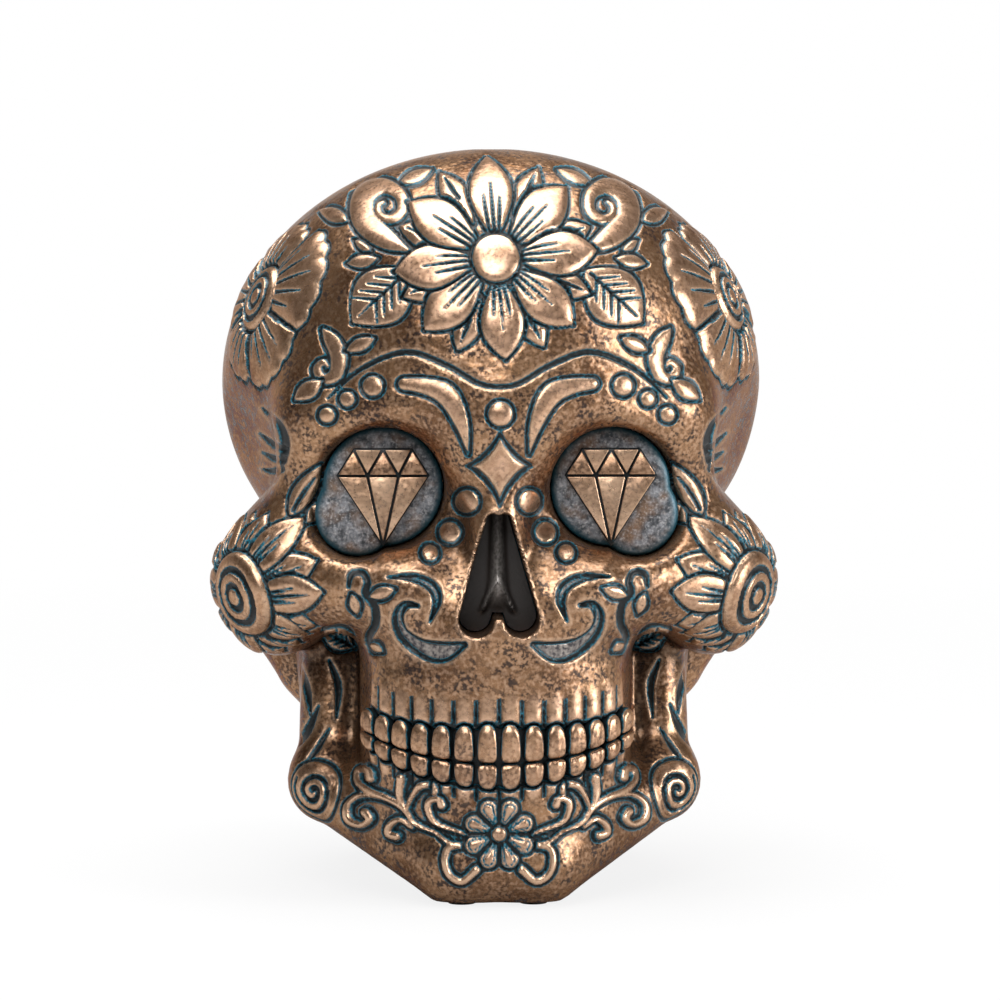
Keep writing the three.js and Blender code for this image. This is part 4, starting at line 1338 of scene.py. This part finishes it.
def below_joint(gap):
    """Everything under the joint of jaw and face."""
    line = [(BED_RADIUS * math.sin(share * ARCH_END), bite_at(share * ARCH_END) - gap)
            for share in (0, 0.25, 0.5, 0.75, 0.98)]
    step = JAW_STEP_OUT + gap
    line += [(step, bite_at(ARCH_END) - gap), (step, JAW_JOINT_HEIGHT - gap), (FAR, JAW_JOINT_HEIGHT - gap)]
    outline = [(FAR, -FAR)] + line[::-1] + [(-x, z) for x, z in line[1:]] + [(-FAR, -FAR)]
    shape = bmesh.new()
    face = shape.faces.new([shape.verts.new((x, -FAR, z)) for x, z in outline])
    pulled = bmesh.ops.extrude_face_region(shape, geom=[face])["geom"]
    moved = [item for item in pulled if isinstance(item, bmesh.types.BMVert)]
    bmesh.ops.translate(shape, vec=(0, 2 * FAR, 0), verts=moved)
    bmesh.ops.triangulate(shape, faces=shape.faces)
    bmesh.ops.recalc_face_normals(shape, faces=shape.faces)
    return new_mesh(shape, "below_joint")


def cut_with(mesh, tool, operation):
    """One Boolean modifier, applied."""
    body = bpy.data.objects.new("body", mesh)
    cutter = bpy.data.objects.new("cutter", tool)
    for item in (body, cutter):
        bpy.context.scene.collection.objects.link(item)
    change = body.modifiers.new("change", "BOOLEAN")
    change.object = cutter
    change.operation = operation
    change.solver = "MANIFOLD"
    graph = bpy.context.evaluated_depsgraph_get()
    result = bpy.data.meshes.new_from_object(body.evaluated_get(graph))
    for item in (body, cutter):
        bpy.data.objects.remove(item)
    return result


front_half = block((-FAR, -FAR, -FAR), (FAR, SEAM_DEPTH - HAIRLINE / 2, FAR))
back_half = block((-FAR, SEAM_DEPTH + HAIRLINE / 2, -FAR), (FAR, FAR, FAR))
cavity = grown(WALL)


def register_lip(gap):
    band = block((-FAR, SEAM_DEPTH - LIP_HEIGHT - gap, -FAR), (FAR, SEAM_DEPTH + LIP_THICKNESS, FAR))
    return cut_with(grown(WALL - LIP_THICKNESS - gap), band, "INTERSECT")


shell = cut_with(skin, block((-FAR, -FAR, -FAR), (FAR, FAR, FELT_THICKNESS)), "DIFFERENCE")
shell = cut_with(shell, cavity, "DIFFERENCE")
front = cut_with(cut_with(shell, front_half, "INTERSECT"), register_lip(FIT_GAP), "DIFFERENCE")
casting_meshes = {
    "face": cut_with(front, below_joint(-HAIRLINE / 2), "DIFFERENCE"),
    "jaw": cut_with(front, below_joint(HAIRLINE / 2), "INTERSECT"),
    "back": cut_with(
        cut_with(shell, back_half, "INTERSECT"), cut_with(register_lip(0), cavity, "DIFFERENCE"), "UNION"
    ),
}
for name, mesh in casting_meshes.items():
    print("casting:", name, len(mesh.polygons), "faces")

# %% Press the carving in
HIGHEST = CAD_BOX[1][2] / MM - 0.02  # the crown is a hair flatter than the drawn bones
GROOVE_REACH = 1.5  # how close a place is to the bottom of a groove is kept up to here
SHARP_ANGLE = math.radians(50)
SKIN_REACH = 0.08  # points this close to the drawn bones belong to the outer skin
# Painted shade: a place is darkened as far as other bone lies this close in front of it
OCCLUSION_SHADE_REACH = 5.0  # a place is sheltered as far as other bone lies this close in front of it


def put_values(mesh, **layers):
    for name, values in layers.items():
        layer = mesh.attributes.new(name, "FLOAT", "POINT")
        layer.data.foreach_set("value", np.asarray(values, np.float32))


def triangulated(mesh):
    shape = opened(mesh)
    bmesh.ops.triangulate(shape, faces=[face for face in shape.faces if len(face.verts) > 3])
    closed(shape, mesh)


def press_carving(mesh):
    triangulated(mesh)
    points = vertex_array(mesh)
    normal, gap = outward(points)
    outer = np.nonzero((np.abs(gap) < SKIN_REACH) & (points[:, 2] > FELT_THICKNESS + 0.01))[0]
    p, normal = points[outer], normal[outer]
    work = carved(p, normal)
    lift = work.height * ramp((p[:, 2] - FELT_THICKNESS) / 2)
    points[outer] = p + normal * lift[:, None]
    points[:, 2] = np.minimum(points[:, 2], HIGHEST)
    values = {
        "relief": work.height,
        "groove": np.maximum(1 - work.line / GROOVE_REACH, 0),
        "halo": work.halo,
        "floor": work.floor,
        "patina": work.patina,
        "lip": work.lip,
        # Painted shade in recesses, where other bone stands close in front
        "occlusion_shade": 1 - np.clip(skull(p + normal * OCCLUSION_SHADE_REACH) / OCCLUSION_SHADE_REACH, 0, 1),
    }
    for name, value in values.items():
        layer = np.zeros(len(points))
        layer[outer] = value
        put_values(mesh, **{name: layer})
    put_vertices(mesh, to_frame(points))


def show(name, mesh, finish, slot, *nodes):
    """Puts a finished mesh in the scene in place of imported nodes."""
    piece = bpy.data.objects.new(name, mesh)
    bpy.context.scene.collection.objects.link(piece)
    mesh.materials.clear()
    mesh.materials.append(finish)
    mesh.shade_smooth()
    mesh.set_sharp_from_angle(angle=SHARP_ANGLE)
    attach(piece, "root")
    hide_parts(*nodes)
    return piece


for name, mesh in casting_meshes.items():
    press_carving(mesh)
    show(name + "_carved", mesh, BRONZE, "bronze_resin", name + "_casting")
    print("casting:", name, len(mesh.polygons), "triangles")

# %% [markdown]
# ## Teeth
# Fourteen crowns above and fourteen below stand in the bed. A crown is a box pulled towards a ball:
# rounder at the gum than at the biting edge, narrower at the gum, bent round the arch, with two
# faint ridges down its front.

# %% Crowns
TOOTH_GAP = 0.6
CROWN_TAPER = 0.2
CROWN_BACK = 28.7
CROWN_CUTS = 9
BITE_POWER, GUM_POWER = 4.6, 2.8  # 2 is a ball, and the more the squarer
CROWN_RIDGE = 0.12


def superball(corner, power):
    size = (np.abs(corner) ** power).sum(1) ** (1 / power)
    return corner / size[:, None]


def crown(side, index, upper):
    shape = bmesh.new()
    bmesh.ops.create_cube(shape, size=2)
    bmesh.ops.subdivide_edges(shape, edges=shape.edges, cuts=CROWN_CUTS, use_grid_fill=True)
    mesh = new_mesh(shape, "crown")
    corner = vertex_array(mesh)
    rise = 1 if upper else -1
    gumward = np.clip(rise * corner[:, 2], 0, 1)[:, None]
    u, v, w = (superball(corner, BITE_POWER) * (1 - gumward) + superball(corner, GUM_POWER) * gumward).T
    gum_share = (1 + rise * w) / 2
    half = (TOOTH_ANGLE - TOOTH_GAP / ARCH_RADIUS) / 2
    angle = side * (index + 0.5) * TOOTH_ANGLE + u * half * (1 - CROWN_TAPER * gum_share ** 2)
    reach = (crown_at(angle, UPPER_CROWN if upper else LOWER_CROWN) - FIT_GAP / 2) * gum_share
    ridges = CROWN_RIDGE * np.cos(u * 7) * np.clip(-v, 0, 1) * (1 - gum_share)
    radius = mixed(CROWN_BACK, ARCH_RADIUS - CROWN_RIDGE, (1 - v) / 2) + ridges
    height = bite_at(angle) + rise * (FIT_GAP / 2 + reach)
    points = np.stack((radius * np.sin(angle), ARCH_DEPTH - radius * np.cos(angle), height), 1)
    put_values(
        mesh,
        patina=np.maximum(ramp((np.abs(u) - 0.86) / 0.14), ramp((v + 0.75) / 0.5)),
        relief=0.26 * ramp((-v - 0.4) / 0.5),
        # The crown's sides are darker: partly wax, partly painted shade between the teeth
        halo=0.8 * ramp((np.abs(u) - 0.55) / 0.4),
        # A light band near the gum: partly wear, partly a painted highlight
        lip=0.5 * ramp((gum_share - 0.72) / 0.2) * ramp((-v - 0.5) / 0.3),
    )
    put_vertices(mesh, to_frame(points))
    shape = opened(mesh)
    bmesh.ops.recalc_face_normals(shape, faces=shape.faces)
    return closed(shape, mesh)


for word, side in (("left", -1), ("right", 1)):
    for index in range(TEETH_PER_SIDE):
        for row in ("upper", "lower"):
            node = f"{row}_tooth_{word}_{index + 1}"
            mesh = crown(side, index, row == "upper")
            show(f"{row}_crown_{word}_{index + 1}", mesh, BRONZE, "bronze_resin", node)
print("crowns:", 4 * TEETH_PER_SIDE)

# %% [markdown]
# ## Eye plates and diamonds
# A kidney-shaped plate closes each socket, slightly domed, and on it lies a diamond drawn from the
# side: five crown facets and three long ones that run to the tip, with dark grooves between them.

# %% Plates
PLATE_BACK = EYE["floor"] - FIT_GAP
PLATE_FRONT = PLATE_BACK - 2.2
PLATE_GRID = 40
PLATE_SHIFT = 1.5  # from the middle of the socket towards its lobe


def pad_mesh(outline, middle, back, surface):
    """A closed piece that fills an outline seen from in front: surface gives its front's depth."""
    shape = bmesh.new()
    bmesh.ops.create_grid(shape, x_segments=PLATE_GRID, y_segments=PLATE_GRID, size=1)
    rim = [edge for edge in shape.edges if edge.is_boundary]
    pulled = bmesh.ops.extrude_edge_only(shape, edges=rim)["geom"]
    shape.verts.index_update()
    foot = [item.index for item in pulled if isinstance(item, bmesh.types.BMVert)]
    bmesh.ops.holes_fill(shape, edges=[edge for edge in shape.edges if edge.is_boundary])
    mesh = new_mesh(shape, "pad")
    u, v = vertex_array(mesh)[:, :2].T
    way = np.stack((u * np.sqrt(1 - v ** 2 / 2), v * np.sqrt(1 - u ** 2 / 2)), 1)
    share = np.maximum(np.hypot(*way.T), 1e-6)
    way /= share[:, None]
    reach = np.zeros(len(way))
    for _ in range(80):
        place = middle + way * reach[:, None]
        reach += np.maximum(-outline(place[:, 0], place[:, 1]) - FIT_GAP, 0) * SAFE_STEP
    place = middle + way * (reach * share)[:, None]
    depth = surface(place[:, 0], place[:, 1])
    depth[foot] = back
    put_vertices(mesh, np.stack((place[:, 0], depth, place[:, 1]), 1))
    shape = opened(mesh)
    bmesh.ops.triangulate(shape, faces=shape.faces)
    bmesh.ops.recalc_face_normals(shape, faces=shape.faces)
    return closed(shape, mesh)


def plate_surface(x, z):
    inside = np.maximum(-eye_outline(np.abs(x), z) - FIT_GAP, 0)
    lumps = 0.12 * np.sin(x * 1.9 + 2 * np.sin(z * 0.8)) * np.sin(z * 1.7 + x)
    return PLATE_FRONT + 0.9 * np.exp(-inside / 0.6) - 0.25 * ramp(inside / 6) - lumps * ramp(inside / 2)


for word, side in (("left", -1), ("right", 1)):
    middle = np.array((side * (EYE["out"] + PLATE_SHIFT), EYE["height"] - PLATE_SHIFT))
    mesh = pad_mesh(lambda x, z: eye_outline(np.abs(x), z), middle, PLATE_BACK, plate_surface)
    points = vertex_array(mesh)
    inside = -eye_outline(np.abs(points[:, 0]), points[:, 2])
    put_values(mesh, patina=np.exp(-((inside - 0.3) / 1.1) ** 2))
    put_vertices(mesh, to_frame(points))
    show(f"eye_plate_pewter_{word}", mesh, PEWTER, "silver_resin", f"eye_plate_{word}")
print("eye plates: 2")

# %% Diamonds
DIAMOND = dict(width=18.2, table=11.5, crown=5.3, height=19.3, rise=7.6, back=1.2, facet=1.1, groove=0.5)
DIAMOND_LEANS = (0.12, 0.02, 0.14, 0.02, 0.12, -0.01, 0.02, -0.01)


def diamond_corners(x):
    top = EYE["height"] + DIAMOND["rise"]
    girdle_height = top - DIAMOND["crown"]
    table = [(x + (share - 0.5) * DIAMOND["table"], top) for share in (0, 0.5, 1)]
    girdle = [(x + (share - 0.5) * DIAMOND["width"], girdle_height) for share in (0, 1 / 3, 2 / 3, 1)]
    return table, girdle, (x, top - DIAMOND["height"])


def prism(shape, outline, front, back):
    """Pulls an outline back from its front, and returns its front face."""
    face = shape.faces.new([shape.verts.new((x, front, z)) for x, z in outline])
    pulled = bmesh.ops.extrude_face_region(shape, geom=[face])["geom"]
    moved = [item for item in pulled if isinstance(item, bmesh.types.BMVert)]
    bmesh.ops.translate(shape, vec=(0, back - front, 0), verts=moved)
    return face


def shrunk(corners, inset):
    """A triangle with each side moved in."""
    points = np.array(corners, float)
    sides = np.array([np.hypot(*(points[i - 1] - points[i - 2])) for i in range(3)])
    middle = (points * sides[:, None]).sum(0) / sides.sum()
    first, second = points[1] - points[0], points[2] - points[0]
    in_radius = abs(first[0] * second[1] - first[1] * second[0]) / sides.sum()
    return middle + (points - middle) * (1 - inset / in_radius)


def diamond_mesh(side):
    table, girdle, tip = diamond_corners(side * EYE["out"])
    back = PLATE_FRONT - FIT_GAP
    front = back - DIAMOND["back"]
    shape = bmesh.new()
    prism(shape, [table[0], girdle[0], tip, girdle[3], table[2]], front, back)
    facets = [(table[0], girdle[0], girdle[1]), (table[0], girdle[1], table[1]),
              (table[1], girdle[1], girdle[2]), (table[1], girdle[2], table[2]),
              (table[2], girdle[2], girdle[3]), (girdle[0], tip, girdle[1]),
              (girdle[1], tip, girdle[2]), (girdle[2], tip, girdle[3])]
    for facet, lean in zip(facets, DIAMOND_LEANS):
        face = prism(shape, shrunk(facet, DIAMOND["groove"] / 2), front - DIAMOND["facet"], front + 0.4)
        middle = face.calc_center_median()
        for corner in face.verts:
            corner.co.y += (corner.co.z - middle.z) * lean
    bmesh.ops.recalc_face_normals(shape, faces=shape.faces)
    bmesh.ops.bevel(
        shape, geom=shape.edges, offset=0.18, segments=2, profile=0.5, affect="EDGES", material=-1
    )
    bmesh.ops.triangulate(shape, faces=shape.faces)
    mesh = new_mesh(shape, "diamond")
    points = vertex_array(mesh)
    sunk = ramp((points[:, 1] - front + DIAMOND["facet"] - 0.15) / 0.8)
    # The facets' front edges are lightened, partly as wear and partly as a painted highlight
    worn_edge_highlight = bump(points[:, 1], front - DIAMOND["facet"] + 0.1, 0.12)
    put_values(mesh, patina=sunk, relief=0.25 * (1 - sunk), lip=worn_edge_highlight)
    put_vertices(mesh, to_frame(points))
    return mesh


for word, side in (("left", -1), ("right", 1)):
    show(f"diamond_{word}", diamond_mesh(side), BRONZE, "bronze_resin", f"eye_diamond_{word}")
print("diamonds: 2")

# %% [markdown]
# ## The nasal insert
# A dark plate closes the nose. A soft ridge, the bone between the nostrils, runs down its middle
# and forks at the foot. It is grey, partly rubbed paint and partly a painted highlight.

# %% Nasal insert
INSERT_BACK = NOSE_FLOOR - FIT_GAP
INSERT_FRONT = INSERT_BACK - 1.6
RIDGE_FORK = 64.5


def insert_height(x, z):
    up = np.clip((z - 56) / 19, 0, 1)
    ridge = 2.4 * np.exp(-(x / mixed(1.5, 0.8, up)) ** 2) * ramp((z - 57) / 5)
    fork = np.abs(x) - (RIDGE_FORK - z) * 0.42
    return ridge + 1.5 * np.exp(-(fork / 0.5) ** 2) * ramp((z - 56.5) / 2) * ramp((RIDGE_FORK - z) / 2)


def insert_surface(x, z):
    return INSERT_FRONT - insert_height(x, z)


insert = pad_mesh(nose_outline, np.array((0.0, 62.0)), INSERT_BACK, insert_surface)
insert_points = vertex_array(insert)
put_values(insert, relief=insert_height(insert_points[:, 0], insert_points[:, 2]) / 3)
put_vertices(insert, to_frame(insert_points))
show("nasal_insert_dark", insert, DARK_NOSE, "dark_resin", "nasal_insert")
print("nasal insert:", len(insert.polygons), "triangles")

# %% [markdown]
# ## Felt feet
# Four felt discs keep the casting off the table. Each is a short cylinder with its edges rounded.

# %% Feet
FEET = {"chin_pad": (7, -46.5, 2.8), "rear_pad": (13, 24, 6)}
FELT_CLEAR = 0.05


def felt_foot(x, y, radius):
    shape = bmesh.new()
    bmesh.ops.create_cone(
        shape, cap_ends=True, segments=64, depth=FELT_THICKNESS,
        radius1=radius - FELT_CLEAR, radius2=radius - FELT_CLEAR,
    )
    rims = [edge for edge in shape.edges if len(edge.link_faces) == 2 and edge.calc_face_angle() > 1]
    bmesh.ops.bevel(shape, geom=rims, offset=0.25, segments=3, profile=0.5, affect="EDGES", material=-1)
    bmesh.ops.translate(shape, vec=(x, y, FELT_THICKNESS / 2), verts=shape.verts)
    bmesh.ops.triangulate(shape, faces=shape.faces)
    mesh = new_mesh(shape, "felt_foot")
    put_vertices(mesh, to_frame(vertex_array(mesh)))
    return mesh


for word, side in (("left", -1), ("right", 1)):
    for node, (x, y, radius) in FEET.items():
        show(f"{node}_felt_{word}", felt_foot(side * x, y, radius), FELT, "felt", f"{node}_{word}")
print("felt feet: 4")

# %% [markdown]
# ## Studio
# The ornament stands on a pale table under a large soft box, with a smaller one in front of it and
# another on its right. Table and background are white to the camera, and in reflections where they
# lie behind the ornament.

# %% Floor, lamps and background
FLOOR_SIZE = 40
WHITE = (1, 1, 1, 1)
DIM_ROOM = (0.05, 0.05, 0.053, 1)
WALL_FOOT, WALL_TOP = math.sin(math.radians(8)), math.sin(math.radians(24))


def seen_white(tree, where):
    """1 for the camera, and for mirrored rays as much as where says."""
    ray = add(tree, "LightPath", []).node.outputs
    mirrored = add(tree, "Math", [ray["Is Glossy Ray"], ray["Is Transmission Ray"]], **PLUS)
    mirrored = add(tree, "Math", [mirrored, where], **TIMES)
    return add(tree, "Math", [ray["Is Camera Ray"], mirrored], **PLUS)


def pale_table():
    # Matt laminate: white to the camera, and behind the ornament white in reflections too
    material, tree = new_finish("pale_table")
    place = add(tree, "TexCoord", [], "Object")
    behind = add(tree, "MapRange", [add(tree, "SeparateXYZ", [place], "Y"), 0.1, 1.0])
    away = add(tree, "VectorMath", [place], "Value", operation="LENGTH")
    shadow_kept = add(tree, "MapRange", [away, 0.1, 0.7, 0.86, 1.0])
    share = add(tree, "Math", [seen_white(tree, behind), shadow_kept], **TIMES)
    lit = add(tree, "BsdfDiffuse", {"Color": shade("#b8b8b8")})
    white = add(tree, "Emission", {"Color": WHITE, "Strength": 1.0})
    add(tree, "OutputMaterial", {"Surface": add(tree, "MixShader", [share, lit, white])})
    return material


floor_shape = bmesh.new()
bmesh.ops.create_grid(floor_shape, x_segments=1, y_segments=1, size=FLOOR_SIZE / 2)
floor_mesh = new_mesh(floor_shape, "table_top")
floor_mesh.materials.append(pale_table())
floor = bpy.data.objects.new("table_top", floor_mesh)
bpy.context.scene.collection.objects.link(floor)


def soft_lamp(name, place, size, watts, aim=(0, 0, 0.08)):
    lamp = bpy.data.objects.new(name, bpy.data.lights.new(name, "AREA"))
    lamp.data.shape = "SQUARE"
    lamp.data.size = size
    lamp.data.energy = watts
    lamp.location = place
    lamp.rotation_euler = (Vector(place) - Vector(aim)).to_track_quat("Z", "Y").to_euler()
    bpy.context.scene.collection.objects.link(lamp)


soft_lamp("overhead", (-0.05, 0.12, 1.06), 1.0, 25)
soft_lamp("front", (-0.15, -0.85, 0.75), 0.65, 10)
soft_lamp("right", (0.9, -0.42, 0.28), 0.5, 9)

world = bpy.data.worlds.new("studio")
world.use_nodes = True
sky = world.node_tree
sky.nodes.clear()
sky_way = add(sky, "SeparateXYZ", [add(sky, "TexCoord", [], "Generated")]).node.outputs
sky_wall = add(sky, "MapRange", [sky_way["Z"], WALL_TOP, WALL_FOOT])
sky_wall = add(sky, "Math", [sky_wall, add(sky, "MapRange", [sky_way["Y"], 0.1, 0.8])], **TIMES)
sky_colour = painted(sky, DIM_ROOM, [(WHITE, seen_white(sky, sky_wall))])
backdrop = add(sky, "Background", {"Color": sky_colour, "Strength": 1.0})
add(sky, "OutputWorld", {"Surface": backdrop})
bpy.context.scene.world = world
print("studio ready")
